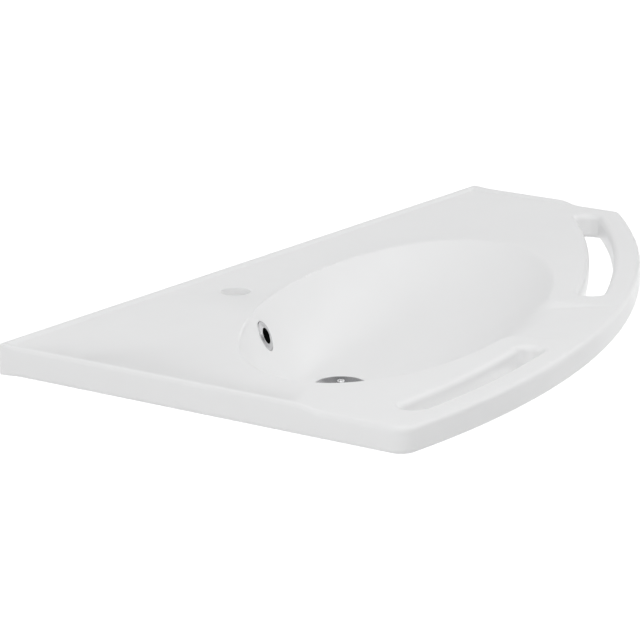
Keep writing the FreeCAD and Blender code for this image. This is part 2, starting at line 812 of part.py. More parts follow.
def waste_body():
    """Moulded body: flange, cup, screwed outlet, side inlet and a bush on three webs."""
    body = "body_diameter / 2"
    outlet = "outlet_diameter / 2"
    lip = "body_top_z - body_flange_thickness"
    bore = "waste_hole_diameter / 2 + running_gap"
    shoulder = "body_foot_z + (body_diameter - outlet_diameter) / 2"
    shell = turned("body_shell", (
        (bore, "body_top_z"),
        ("body_flange_diameter / 2", "body_top_z"),
        ("body_flange_diameter / 2", lip),
        (body, lip),
        (body, shoulder),
        (outlet, "body_foot_z"),
        (outlet, "body_foot_z - outlet_length"),
        (f"{outlet} - body_wall", "body_foot_z - outlet_length"),
        (f"{outlet} - body_wall", "body_foot_z + body_wall / 2"),
        (f"{body} - body_wall", f"{shoulder} + body_wall / 2"),
        (f"{body} - body_wall", lip),
        (bore, lip + " + body_wall / 2"),
    ), AT_WASTE)
    start = size("body_diameter") / 2 - size("body_wall") / 2
    inlet = loose_cylinder("inlet_tube", "spigot_diameter / 2", f"inlet_length + {size('body_wall') / 2}",
                           inlet_placement(start))
    inlet_bore = loose_cylinder("inlet_bore", "hose_diameter / 2 - hose_wall", "body_diameter",
                                inlet_placement(start - size("body_wall")))
    inlet_socket = loose_cylinder("inlet_socket", "hose_diameter / 2 + running_gap",
                                  "hose_insertion + cut_margin",
                                  inlet_placement(inlet_end() - size("hose_insertion")))
    bush_top = "body_top_z - bush_below_top"
    bush = cylinder("bush", "bush_diameter / 2", "bush_length",
                    ("0", "-waste_from_wall", bush_top + " - bush_length"))

    def web(number, angle):
        turn = f"{inlet_turn()} + 60 + {angle}"
        at = (f"web_thickness / 2 * sin({turn})",
              f"-waste_from_wall - web_thickness / 2 * cos({turn})",
              bush_top + " - bush_length")
        return primitive("Box", f"web_{number}", at, UP, turn,
                         Length="body_diameter / 2 - body_wall / 2", Width="web_thickness",
                         Height="bush_length")

    solid = joined("body_solid", shell, inlet, bush, around("webs", 3, web))
    screw_hole = cylinder("bush_hole", "screw_diameter / 2 + thread_gap", "bush_length + 2 * cut_margin",
                          ("0", "-waste_from_wall", bush_top + " - bush_length - cut_margin"))
    return without("waste_body", solid, inlet_bore, inlet_socket, screw_hole)


# %% Overflow: rosette, elbow, hose and nuts

def on_seat(item, shift=0.0):
    """Put a piece made about its own Z axis on the overflow's axis."""
    item.Placement = overflow_seat().multiply(
        FreeCAD.Placement(UP * shift, FreeCAD.Rotation()))
    return item


def overflow_ring():
    """Rosette with a beaded edge, a rolled hole and the sleeve that reaches through the wall."""
    rim = "rosette_diameter / 2"
    hole = "rosette_hole / 2"

    def up(height):
        return f"seal_thickness + {height}"

    return on_seat(turned("overflow_ring", (
        (hole, "seal_thickness - sleeve_length"),
        ("sleeve_diameter / 2", "seal_thickness - sleeve_length"),
        ("sleeve_diameter / 2", "seal_thickness"),
        (rim, "seal_thickness"),
        (rim, up("rosette_rim / 2")),
        (f"{rim} - rosette_bead * 0.18", up("rosette_rim * 0.9")),
        (f"{rim} - rosette_bead / 2", up("rosette_rim")),
        (f"{rim} - rosette_bead", up("rosette_rim * 0.75")),
        (f"{rim} - rosette_bead * 1.3", up("rosette_rim * 0.8")),
        (f"{hole} + rosette_lip", up("rosette_rise * 0.92")),
        (f"{hole} + rosette_lip * 0.55", up("rosette_rise")),
        (f"{hole} + rosette_lip * 0.2", up("rosette_rise * 0.92")),
        (hole, up("rosette_rise * 0.65")),
    ), None))


def seat_ring(name, outer, inner, low, high):
    """A flat ring on the overflow's axis."""
    return on_seat(ring(name, outer, inner, low, high, None))


def elbow_shift():
    """How far behind the inner seat the elbow's downward axis lies."""
    flange = size("overflow_wall") + size("seal_thickness") + size("elbow_flange_thickness")
    return -flange - size("elbow_length") / 2


def elbow_centre():
    """Where the elbow's two axes meet."""
    return overflow_seat().multVec(UP * elbow_shift())


def overflow_elbow():
    """Flange and chamber behind the wall, with a spigot that points straight down."""
    face = "-overflow_wall - seal_thickness"
    back = face + " - elbow_flange_thickness - elbow_length"
    socket = "sleeve_diameter / 2 + running_gap"
    chamber = on_seat(turned("elbow_chamber", (
        ("0", back),
        ("elbow_diameter / 2 - elbow_bend", back),
        ("elbow_diameter / 2", back + " + elbow_bend"),
        ("elbow_diameter / 2", face + " - elbow_flange_thickness"),
        ("elbow_flange_diameter / 2", face + " - elbow_flange_thickness"),
        ("elbow_flange_diameter / 2", face),
        ("0", face),
    ), None))
    room = on_seat(turned("elbow_room", (
        ("0", back + " + body_wall"),
        (socket, back + " + body_wall"),
        (socket, "0"),
        ("0", "0"),
    ), None))
    centre = elbow_centre()
    down = FreeCAD.Rotation(UP, UP * -1)
    spigot = loose_cylinder("spigot", "spigot_diameter / 2", "spigot_length",
                            FreeCAD.Placement(centre, down))
    bore = loose_cylinder("spigot_bore", "hose_diameter / 2 - hose_wall", "spigot_length + cut_margin",
                          FreeCAD.Placement(centre, down))
    mouth = centre - UP * (size("spigot_length") - size("hose_insertion"))
    socket_bore = loose_cylinder("spigot_socket", "hose_diameter / 2 + running_gap",
                                 "hose_insertion + cut_margin", FreeCAD.Placement(mouth, down))
    return without("overflow_elbow", joined("elbow_solid", chamber, spigot), room, bore, socket_bore)


def spigot_mouth():
    """The placement at the elbow's mouth, its Z axis along the hose."""
    return FreeCAD.Placement(elbow_centre() - UP * size("spigot_length"),
                             FreeCAD.Rotation(UP, UP * -1))


def inlet_mouth():
    """The placement at the side inlet's mouth, its Z axis along the hose."""
    return inlet_placement(inlet_end())


def hose_seal(name, mouth):
    """The rubber ring between a spigot's mouth and its nut, tight round the hose."""
    item = ring(name, "spigot_diameter / 2", "hose_diameter / 2", "0", "hose_seal", None)
    item.Placement = mouth
    return item


def hose_nut(name, mouth):
    """A gripping nut: it covers the spigot's end and its end wall holds the seal."""
    outer = "nut_diameter / 2"
    inner = "spigot_diameter / 2 + running_gap"
    hose = "hose_diameter / 2 + running_gap"
    low = "hose_seal + nut_end - nut_length"
    high = "hose_seal + nut_end"
    blank = turned(name + "_blank", (
        (inner, low),
        (outer, low),
        (outer, high + " - nut_chamfer"),
        (outer + " - nut_chamfer", high),
        (hose, high),
        (hose, "hose_seal"),
        (inner, "hose_seal"),
    ), None)

    def groove(number, angle):
        middle = "(nut_diameter / 2 + nut_groove * 0.375)"
        at = (f"{middle} * cos({angle})", f"{middle} * sin({angle})", low + " - nut_chamfer / 2")
        return cylinder(f"{name}_groove_{number}", "nut_groove", "nut_length - nut_chamfer", at)

    nut = without(name, blank, around(name + "_grooves", int(size("nut_ribs")), groove))
    nut.Placement = mouth
    return nut


def overflow_hose():
    """The hose: down out of the elbow, one quarter bend, and level into the waste body."""
    upper = elbow_centre() - UP * (size("spigot_length") - size("hose_insertion"))
    lower = inlet_placement(inlet_end() - size("hose_insertion")).Base
    bend = size("hose_bend")
    corner = Vector(upper.x, upper.y, size("inlet_z"))
    inward = lower - corner
    inward.normalize()
    bend_start = corner + UP * bend
    bend_end = corner + inward * bend
    bend_centre = bend_end + UP * bend
    halfway = bend_centre - (UP + inward) * (bend / math.sqrt(2))
    spine = Part.Wire([
        Part.makeLine(upper, bend_start),
        Part.Arc(bend_start, halfway, bend_end).toShape(),
        Part.makeLine(bend_end, lower),
    ])

    def tube(radius):
        section = Part.Wire(Part.makeCircle(radius, upper, UP * -1))
        return spine.makePipeShell([section], True, False)

    outer = size("hose_diameter") / 2
    item = doc.addObject("Part::Feature", "overflow_hose")
    item.Shape = tube(outer).cut(tube(outer - size("hose_wall")))
    expected = math.pi * (outer ** 2 - (outer - size("hose_wall")) ** 2) * spine.Length
    print(f"hose: {spine.Length:.1f} mm long, bend {bend:.0f} mm, "
          f"volume {item.Shape.Volume / expected:.4f} of section times length")
    return item


# %% Check and export


def checked(item):
    """A recomputed feature whose state and shape are sound."""
    doc.recompute()
    for thing in doc.Objects:
        if {"Invalid", "Error"} & set(thing.State):
            raise RuntimeError(f"{thing.Name}: {thing.State}")
    if item.Shape.isNull() or not item.Shape.isValid():
        raise RuntimeError(f"{item.Label}: shape is not valid")
    return item


WASTE_RIM = "waste_hole_diameter / 2 + running_gap"
PARTS = {
    "basin": basin(),
    "waste_strainer": waste_strainer(),
    "strainer_gasket": ring("strainer_gasket", "flange_diameter / 2 - 2 * seal_inset", WASTE_RIM,
                            "seat_z - flange_thickness - flange_gasket", "seat_z - flange_thickness"),
    "waste_screw": waste_screw(),
    "waste_body_gasket": ring("waste_body_gasket", WASTE_RIM + " + body_gasket_width", WASTE_RIM,
                              "body_top_z", "waste_foot_z"),
    "waste_body": waste_body(),
    "overflow_ring": overflow_ring(),
    "overflow_ring_seal": seat_ring("overflow_ring_seal", "rosette_diameter / 2 - seal_inset",
                                    "sleeve_diameter / 2 + running_gap", "0", "seal_thickness"),
    "overflow_elbow": overflow_elbow(),
    "overflow_elbow_seal": seat_ring("overflow_elbow_seal", "elbow_flange_diameter / 2 - seal_inset",
                                     "overflow_hole_diameter / 2",
                                     "-overflow_wall - seal_thickness", "-overflow_wall"),
    "overflow_hose": overflow_hose(),
    "hose_nut_upper": hose_nut("hose_nut_upper", spigot_mouth()),
    "hose_seal_upper": hose_seal("hose_seal_upper", spigot_mouth()),
    "hose_nut_lower": hose_nut("hose_nut_lower", inlet_mouth()),
    "hose_seal_lower": hose_seal("hose_seal_lower", inlet_mouth()),
}
os.makedirs("parts", exist_ok=True)
for node, item in PARTS.items():
    item.Label = node
    checked(item)
    item.Shape.exportStep(f"parts/{node}.step")
    print(f"{node}: {len(item.Shape.Solids)} solid, {item.Shape.Volume / 1000:.1f} cm3")
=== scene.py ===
# %% [markdown]
# # A corner basin in white cast composite
# The part is a wide, shallow washbasin for a corner, with one curved front edge,
# two grip slots and an oval bowl.  Each cell below makes one thing and prints
# what it made, so the file can be read from top to bottom as a lesson.

# %% Setup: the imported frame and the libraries
import math

import bmesh
import bpy
import numpy as np
from mathutils import Matrix, Vector
from mathutils.geometry import delaunay_2d_cdt


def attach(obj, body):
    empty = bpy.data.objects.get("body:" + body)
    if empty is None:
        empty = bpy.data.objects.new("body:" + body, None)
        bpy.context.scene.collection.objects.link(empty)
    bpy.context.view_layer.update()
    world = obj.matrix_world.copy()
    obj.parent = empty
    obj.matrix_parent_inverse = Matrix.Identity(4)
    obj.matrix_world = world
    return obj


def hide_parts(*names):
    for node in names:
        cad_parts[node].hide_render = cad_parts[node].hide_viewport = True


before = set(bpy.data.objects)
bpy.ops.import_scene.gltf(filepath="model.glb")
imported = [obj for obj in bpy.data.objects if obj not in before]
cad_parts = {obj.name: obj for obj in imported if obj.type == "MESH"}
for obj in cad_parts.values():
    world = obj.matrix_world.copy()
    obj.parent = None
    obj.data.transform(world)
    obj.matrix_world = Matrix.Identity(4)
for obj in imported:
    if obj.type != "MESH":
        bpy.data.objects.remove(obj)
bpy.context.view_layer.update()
scene = bpy.context.scene
scene.view_settings.view_transform = "Standard"
MM = 0.001
print("nodes in the frame:", len(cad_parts))

# %% [markdown]
# ## Camera
# A product photo is taken with a long lens from some distance, so that straight
# edges stay straight.  The camera could be placed by eye.  Here its place and its
# two angles come from fitting the basin's straight edges, whose sizes are known,
# to the photograph: that way the same drawing also gives the sizes of the bowl.

# %% Camera
YAW = math.radians(54.5783)
PITCH = math.radians(14.9796)
CAMERA_PLACE = (-3.39618, -2.60223, 1.15565)
SENSOR_WIDTH = 36
IMAGE_WIDTH = 640
FOCAL_PIXELS = 3790.08
look = Vector((math.sin(YAW) * math.cos(PITCH), math.cos(YAW) * math.cos(PITCH), -math.sin(PITCH)))
right = Vector((math.cos(YAW), -math.sin(YAW), 0))
up = right.cross(look)
camera_data = bpy.data.cameras.new("camera")
camera_data.sensor_width = SENSOR_WIDTH
camera_data.lens = SENSOR_WIDTH * FOCAL_PIXELS / IMAGE_WIDTH
camera_data.clip_end = 60
camera = bpy.data.objects.new("camera", camera_data)
axes = Matrix((right, up, -look)).transposed()
camera.matrix_world = Matrix.Translation(CAMERA_PLACE) @ axes.to_4x4()
scene.collection.objects.link(camera)
scene.camera = camera
print("camera lens:", round(camera_data.lens, 1), "mm")

# %% [markdown]
# ## Small tools for meshes
# A cast basin has no sharp corner: every two faces meet in a fillet.  They could be
# rounded with a Bevel modifier, but its width breaks down where a lip runs out to
# nothing.  So the faces are written as heights, and `soft_min` joins two of them
# like a fillet: it follows the lower one and rounds the place where they meet.
# Lengths are in millimetres from here on, because the basin's drawing is.

# %% Tools for heights and outlines
def soft_min(first, second, reach):
    """The lower of two heights, rounded where they come within reach of each other."""
    share = np.clip(0.5 + 0.5 * (second - first) / reach, 0, 1)
    return second * (1 - share) + first * share - reach * share * (1 - share)


def soft_max(first, second, reach):
    """The higher of two heights, rounded in the same way."""
    return -soft_min(-first, -second, reach)


def smooth_step(value, low, high):
    """Runs from 0 at low to 1 at high, level at both ends."""
    share = np.clip((value - low) / (high - low), 0, 1)
    return share * share * (3 - 2 * share)


def arc_points(centre, radius, start, end, step=6.0, least=6.0):
    """Points and outward directions on an arc; angles in degrees."""
    spacing = min(step, math.radians(least) * radius)
    count = max(2, math.ceil(math.radians(abs(end - start)) * radius / spacing))
    turn = np.radians(np.linspace(start, end, count + 1))
    out = np.stack([np.cos(turn), np.sin(turn)], 1)
    return np.array(centre) + radius * out, out


def line_points(start, end, out, step=6.0):
    """Points on a straight edge, each with the same outward direction."""
    start, end = np.array(start, float), np.array(end, float)
    count = max(2, math.ceil(np.linalg.norm(end - start) / step))
    share = np.linspace(0, 1, count + 1)[:, None]
    return start + (end - start) * share, np.tile(np.array(out, float), (count + 1, 1))


def chain(*runs):
    """Runs of an outline put end to end, with shared end points kept once."""
    points = np.concatenate([run[0][:-1] for run in runs])
    outs = np.concatenate([run[1][:-1] for run in runs])
    return points, outs


def inside(points, loop):
    """Which points lie inside a closed loop."""
    found = np.zeros(len(points), bool)
    x, y = points[:, 0], points[:, 1]
    for (x0, y0), (x1, y1) in zip(loop, np.roll(loop, -1, 0)):
        if y0 == y1:
            continue
        crosses = (y0 > y) != (y1 > y)
        found ^= crosses & (x < (x1 - x0) * (y - y0) / (y1 - y0) + x0)
    return found


print("tools ready")

# %% [markdown]
# ## A mesh from patches
# The casting's skin is one closed surface with holes in it.  Cutting the holes with
# booleans leaves long thin triangles that shade badly, so each face is triangulated
# with its holes already in it, and closed strips of quads join the two faces.
# The patches share their edge points, and welding them closes the skin.


# %% Tools that build a mesh from pieces of surface
class Surface:
    """Collects patches of points and faces, and welds them into one mesh."""

    def __init__(self):
        self.points, self.faces, self.count = [], [], 0

    def add(self, points, faces):
        """One patch; its faces count from its own first point."""
        self.points.append(np.asarray(points, float))
        self.faces += [[index + self.count for index in face] for face in faces]
        self.count += len(points)

    def strip(self, rows):
        """Quads between closed rows that all have as many points."""
        rows = [np.asarray(row, float) for row in rows]
        size = len(rows[0])
        faces = []
        for row in range(len(rows) - 1):
            for i in range(size):
                j = (i + 1) % size
                faces.append([row * size + i, row * size + j, (row + 1) * size + j, (row + 1) * size + i])
        self.add(np.concatenate(rows), faces)

    def field(self, loops, holes, free, lines, height):
        """A triangulated sheet: z = height(x, y) inside loops[0] and outside the holes."""
        rings = loops + holes
        points, edges = [], []
        for ring in rings:
            start = sum(len(part) for part in points)
            points.append(ring)
            edges += [(start + i, start + (i + 1) % len(ring)) for i in range(len(ring))]
        for line in lines:
            start = sum(len(part) for part in points)
            points.append(line)
            edges += [(start + i, start + i + 1) for i in range(len(line) - 1)]
        points.append(free)
        flat = np.concatenate(points)
        made = delaunay_2d_cdt([Vector(point) for point in flat], edges, [], 0, 1e-4, True)
        plan = np.array([tuple(point) for point in made[0]])
        faces = np.array(made[2])
        middles = plan[faces].mean(1)
        keep = inside(middles, loops[0])
        for hole in holes:
            keep &= ~inside(middles, hole)
        faces = faces[keep]
        self.add(np.column_stack([plan, height(plan[:, 0], plan[:, 1])]), faces.tolist())
        return len(faces)

    def piece(self, name, sharp=35, weld=0.004):
        """The finished object, in metres, with outward normals and smooth shading."""
        mesh = bpy.data.meshes.new(name)
        mesh.from_pydata(np.concatenate(self.points) * MM, [], self.faces)
        work = bmesh.new()
        work.from_mesh(mesh)
        bmesh.ops.remove_doubles(work, verts=work.verts, dist=weld * MM)
        loose = [vert for vert in work.verts if not vert.link_faces]
        bmesh.ops.delete(work, geom=loose, context="VERTS")
        bmesh.ops.recalc_face_normals(work, faces=work.faces)
        open_edges = sum(1 for edge in work.edges if not edge.is_manifold)
        work.to_mesh(mesh)
        work.free()
        mesh.shade_smooth()
        mesh.set_sharp_from_angle(angle=math.radians(sharp))
        item = bpy.data.objects.new(name, mesh)
        scene.collection.objects.link(item)
        print(f"{name}: {len(mesh.polygons)} faces, {open_edges} open edges")
        return item


def level(points, height):
    """Flat points lifted to one height."""
    return np.column_stack([points, np.full(len(points), float(height))])


def edge_rows(points, outs, top, radius, steps, rising=False):
    """Rows of a quarter-round edge, from the flat at its inner side to the upright wall.

    `outs` points from the flat towards the wall; rising makes a lower edge.
    """
    rows = []
    for i in range(steps + 1):
        turn = math.pi / 2 * i / steps
        back = radius * (1 - math.sin(turn))
        drop = radius * (1 - math.cos(turn))
        height = top + drop if rising else top - drop
        rows.append(np.column_stack([points - outs * back[:, None], height]))
    return rows


print("surface tools ready")

# %% [markdown]
# ## The basin's sizes
# The plan is a straight back, two square sides and one arc.  The bowl is a family
# of ellipses: each one lower is smaller, and its centre drifts towards the waste.
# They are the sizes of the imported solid, written once here and used by every cell
# below.  Zero is on the wall, in the middle between the two wall bolts.

# %% Sizes in millimetres
ARC_CENTRE = np.array([-230.064, 696.662])
FRONT_RADIUS = 1240.0
LEFT, RIGHT = -345.0, 605.0
CREST, DECK, FOOT, CEILING = 60.0, 56.0, 25.0, 42.0
WALL = 14.0
HOLLOW_RADIUS = 1165.2
LEFT_LIP_END, RIGHT_LIP_END = (403, 431), (136, 162)
SLOT_RADIUS = 1193.5
SLOT_HALF = 14.3
SLOT_ROUNDING = 8.0
SLOTS = {"left": (-1.8, 10.4), "right": (23.1, 41.0)}
TAP_HOLE = np.array([0.0, -67.0])
TAP_RADIUS = 17.5
BOWL = np.array([56.986, -258.967])
WASTE = np.array([0.0, -215.967])
BOWL_TURN = math.radians(16.599)
SEAT = 33.0
BOWL_LONG, BOWL_SHORT = 332.4, 154.29
BOWL_DEPTH, BOWL_FULLNESS = 85.0, 1.9
SHELL = 12.0
SADDLE_SLOPE = math.radians(5.4)
SADDLE_MOUTH, SADDLE_HALF, SADDLE_SIDE_RUN = 229, 80, 1.9
RIM_ROUNDING, SADDLE_ROUNDING = 1.3, 15.0
BRIDGE_HALF = 94
WASTE_SEAT_RADIUS, WASTE_BORE = 28.8, 24.0
LONG_AXIS = np.array([math.cos(BOWL_TURN), math.sin(BOWL_TURN)])
SHORT_AXIS = np.array([-math.sin(BOWL_TURN), math.cos(BOWL_TURN)])
OVERFLOW = Vector((-52.05, -147.55, 26.8))
OVERFLOW_OUT = Vector((0.3094, -0.8652, 0.3870)).normalized()
SEAT_SINK = 2.0
SEAT_RADIUS = 18.3
OVERFLOW_WALL = 9.8
OVERFLOW_BORE = 13.0
print("bowl:", 2 * BOWL_LONG, "by", 2 * BOWL_SHORT, "mm")

# %% [markdown]
# ## Heights
# The bowl is steep at its rim and flat at the waste, like a scoop.  A sphere or a
# sculpted mesh would give a bowl too, but not one whose rim is the drawn ellipse.
# So each point of the plan first gets its share of the bowl (1 on the rim, 0 on the
# waste seat), and a power of that share is its depth.


# %% Heights of the upper face
def bowl_ring(share, turn, wall=0.0):
    """Points of the bowl's ring at a share of its size (1 is the rim, 0 the waste seat)."""
    middle = WASTE + (BOWL - WASTE) * np.asarray(share)[..., None]
    long_half = SEAT + (BOWL_LONG - SEAT) * np.asarray(share) + wall
    short_half = SEAT + (BOWL_SHORT - SEAT) * np.asarray(share) + wall
    return (middle + (long_half * np.cos(turn))[..., None] * LONG_AXIS
            + (short_half * np.sin(turn))[..., None] * SHORT_AXIS)


def along_bowl(x, y):
    """Places along the bowl's long and short axis, from its middle."""
    return ((x - BOWL[0]) * LONG_AXIS[0] + (y - BOWL[1]) * LONG_AXIS[1],
            (x - BOWL[0]) * SHORT_AXIS[0] + (y - BOWL[1]) * SHORT_AXIS[1])


def bowl_share(x, y, wall=0.0):
    """The share of the ring through each point, found by halving an interval."""
    low = np.zeros_like(x)
    high = np.full_like(x, 2.5)
    for _ in range(36):
        share = (low + high) / 2
        middle = WASTE + (BOWL - WASTE) * share[:, None]
        dx, dy = x - middle[:, 0], y - middle[:, 1]
        across = (dx * LONG_AXIS[0] + dy * LONG_AXIS[1]) / (SEAT + (BOWL_LONG - SEAT) * share + wall)
        along = (dx * SHORT_AXIS[0] + dy * SHORT_AXIS[1]) / (SEAT + (BOWL_SHORT - SEAT) * share + wall)
        outside = across ** 2 + along ** 2 > 1
        low = np.where(outside, share, low)
        high = np.where(outside, high, share)
    return np.where(high < 1e-6, 0, high)


def saddle_height(x, y):
    """The shallow valley that runs from the front edge down into the bowl."""
    across, along = along_bowl(x, y)
    floor = -math.tan(SADDLE_SLOPE) * (along + SADDLE_MOUTH) + np.maximum(along + 110, 0) * 2
    sides = (np.abs(across) - SADDLE_HALF) / SADDLE_SIDE_RUN
    return soft_max(floor, sides, 1.5)


def ramp(value):
    """A straight ramp from 0 to 1 with softened ends."""
    return soft_max(soft_min(value, np.ones_like(value), 0.35), np.zeros_like(value), 0.35)


def lip_share(x, y):
    """How far the lips stand up: 1 on their crest, 0 on the deck."""
    back = ramp((y + 9) / 5.5)
    left = ramp((LEFT + 11 - x) / 4.5) * (1 - smooth_step(-y, *LEFT_LIP_END))
    right_side = ramp((x - RIGHT + 11) / 4.5) * (1 - smooth_step(-y, *RIGHT_LIP_END))
    return 1 - (1 - back) * (1 - left) * (1 - right_side)


def seat_plane(x, y, shift):
    """Height of the flat seat square to the overflow's axis."""
    n, centre = OVERFLOW_OUT, OVERFLOW
    return centre.z + (shift - n.x * (x - centre.x) - n.y * (y - centre.y)) / n.z


def seat_distance(x, y, z):
    """Distance from the overflow's axis."""
    offset = np.column_stack([x - OVERFLOW.x, y - OVERFLOW.y, z - OVERFLOW.z])
    n = np.array(OVERFLOW_OUT)
    return np.linalg.norm(offset - (offset @ n)[:, None] * n, axis=1)


def upper_height(x, y):
    """Deck, lips, bowl and saddle as one height."""
    share = bowl_share(x, y)
    bowl = -BOWL_DEPTH * (1 - share ** BOWL_FULLNESS)
    lowered = soft_min(saddle_height(x, y), bowl, SADDLE_ROUNDING)
    lowered = soft_min(np.zeros_like(x), lowered, RIM_ROUNDING)
    return np.minimum(DECK + lowered + (CREST - DECK) * lip_share(x, y), CREST)


def lower_height(x, y):
    """Foot of the walls, hollow under the deck and the outside of the bowl."""
    from_arc = np.hypot(x - ARC_CENTRE[0], y - ARC_CENTRE[1])
    inward = np.minimum(np.minimum(x - LEFT, RIGHT - x), -y) - WALL
    room = soft_min(inward, HOLLOW_RADIUS - from_arc, 10.0)
    bridge = np.where(y < -200, np.abs(along_bowl(x, y)[0]) - BRIDGE_HALF, 1e3)
    room = soft_min(room, bridge, 10.0)
    hollow = FOOT + (CEILING - FOOT) * ramp(room / 3.0)
    shell = DECK - 6 - (BOWL_DEPTH + 6) * (1 - bowl_share(x, y, SHELL) ** BOWL_FULLNESS)
    height = soft_min(hollow, shell, 9.0)
    plane = seat_plane(x, y, -OVERFLOW_WALL)
    near = 1 - smooth_step(seat_distance(x, y, plane), 21, 30)
    return height + (plane - height) * near


print("deck height behind the tap hole:", upper_height(np.array([0.0]), np.array([-40.0]))[0])

# %% [markdown]
# ## Outlines
# The maker's drawing has lines and arcs that run into each other.  A curve object
# would do for one outline, but the edge strips also need the outward direction at
# every point, so each outline is built as points with their directions.


# %% Outlines
def plan_outline(left, right_x, back, radius, corners, step=6.0):
    """The plan, anticlockwise from the back left: left, front arc, right, back."""
    back_left, front_left, front_right, back_right = corners
    centres = []
    for x, corner in ((left + front_left, front_left), (right_x - front_right, front_right)):
        y = ARC_CENTRE[1] - math.sqrt((radius - corner) ** 2 - (x - ARC_CENTRE[0]) ** 2)
        turn = math.degrees(math.atan2(y - ARC_CENTRE[1], x - ARC_CENTRE[0])) % 360
        centres.append(((x, y), turn))
    (fl_centre, fl_turn), (fr_centre, fr_turn) = centres
    return chain(
        line_points((left, back - back_left), (left, fl_centre[1]), (-1, 0), step),
        arc_points(fl_centre, front_left, 180, fl_turn),
        arc_points(ARC_CENTRE, radius, fl_turn, fr_turn, step),
        arc_points(fr_centre, front_right, fr_turn, 360),
        line_points((right_x, fr_centre[1]), (right_x, back - back_right), (1, 0), step),
        arc_points((right_x - back_right, back - back_right), back_right, 0, 90),
        line_points((right_x - back_right, back), (left + back_left, back), (0, 1), step),
        arc_points((left + back_left, back - back_left), back_left, 90, 180),
    )


def slot_outline(start, end, step=4.0):
    """A grip slot: two arcs and two round ends; outs point from the slot into the material."""
    low, high = start - 90, end - 90
    centre_of = [ARC_CENTRE + SLOT_RADIUS * np.array([math.cos(math.radians(t)), math.sin(math.radians(t))])
                 for t in (low, high)]
    outer = arc_points(ARC_CENTRE, SLOT_RADIUS + SLOT_HALF, low, high, step)
    far_end = arc_points(centre_of[1], SLOT_HALF, high, high + 180, 2.0)
    inner = arc_points(ARC_CENTRE, SLOT_RADIUS - SLOT_HALF, high, low, step)
    near_end = arc_points(centre_of[0], SLOT_HALF, low + 180, low + 360, 2.0)
    return chain(outer, far_end, (inner[0], -inner[1]), near_end)


def circle(centre, radius, count):
    """Points round a circle in the plan."""
    turn = np.linspace(0, 2 * math.pi, count, endpoint=False)
    return np.array(centre) + radius * np.column_stack([np.cos(turn), np.sin(turn)])


def seat_circle(radius, count, height):
    """Where a circle round the overflow's axis meets a surface, found along the axis."""
    n = OVERFLOW_OUT
    side = n.cross(Vector((0, 0, 1))).normalized()
    rise = side.cross(n)
    turn = np.linspace(0, 2 * math.pi, count, endpoint=False)
    base = (np.array(OVERFLOW) + radius * np.cos(turn)[:, None] * np.array(side)
            + radius * np.sin(turn)[:, None] * np.array(rise))
    low, high = np.full(count, -24.0), np.full(count, 12.0)
    for _ in range(40):
        middle = (low + high) / 2
        at = base + middle[:, None] * np.array(n)
        above = at[:, 2] > height(at[:, 0], at[:, 1])
        low = np.where(above, low, middle)
        high = np.where(above, middle, high)
    return base + low[:, None] * np.array(n)


def box_grid(x0, x1, y0, y1, step):
    """A square grid of points inside a box of the plan."""
    x, y = np.meshgrid(np.arange(x0, x1, step), np.arange(y0, y1, step))
    return np.column_stack([x.ravel(), y.ravel()])


plan, plan_out = plan_outline(LEFT, RIGHT, 0.0, FRONT_RADIUS, (4.0, 22.0, 13.0, 3.0))
slots = {side: slot_outline(*ends) for side, ends in SLOTS.items()}
print("points round the plan:", len(plan))

# %% [markdown]
# ## The casting
# Poured in one piece: upper face, lower face, and the strips between them, which are
# the outer edge, the two slots, the tap hole, the waste hole and the overflow hole.
# A subdivided plane would waste faces on the flat deck, so points are put only where
# the surface bends: rings down the bowl, a grid on the saddle and lines on the lips.

# %% Basin: upper face
basin = Surface()
BACK_ROUNDING, LIP_ROUNDING, DECK_ROUNDING, FOOT_ROUNDING = 1.5, 6, 8, 7
on_lip = np.maximum(1 - smooth_step(-plan[:, 1], *LEFT_LIP_END) * (plan[:, 0] < 0), 0)
on_lip = np.where(plan[:, 0] > 500, 1 - smooth_step(-plan[:, 1], *RIGHT_LIP_END), on_lip)
from_back = smooth_step(-plan[:, 1], 4, 26)
front_radius = LIP_ROUNDING + (DECK_ROUNDING - LIP_ROUNDING) * (1 - on_lip)
top_radius = BACK_ROUNDING + (front_radius - BACK_ROUNDING) * from_back
foot_radius = BACK_ROUNDING + (FOOT_ROUNDING - BACK_ROUNDING) * from_back
top_loop = plan - plan_out * top_radius[:, None]
foot_loop = plan - plan_out * foot_radius[:, None]
tap_top = circle(TAP_HOLE, TAP_RADIUS + 0.4, 72)
waste_top = circle(WASTE, WASTE_SEAT_RADIUS + 0.8, 96)
overflow_top = seat_circle(SEAT_RADIUS + 0.3, 96, upper_height)

shares = np.concatenate([np.arange(1.03, 0.94, -0.0045), np.linspace(0.935, 0.0, 46)])
turns = np.linspace(0, 2 * math.pi, 360, endpoint=False)
share_grid, turn_grid = np.meshgrid(shares, turns)
bowl_points = bowl_ring(share_grid.ravel(), turn_grid.ravel())
bowl_points = np.concatenate([bowl_points, circle(WASTE, 31.5, 96)])
clear = np.linalg.norm(bowl_points - WASTE, axis=1) > 31
clear &= ~inside(bowl_points, seat_circle(SEAT_RADIUS + 0.9, 96, upper_height)[:, :2])
bowl_points = bowl_points[clear]

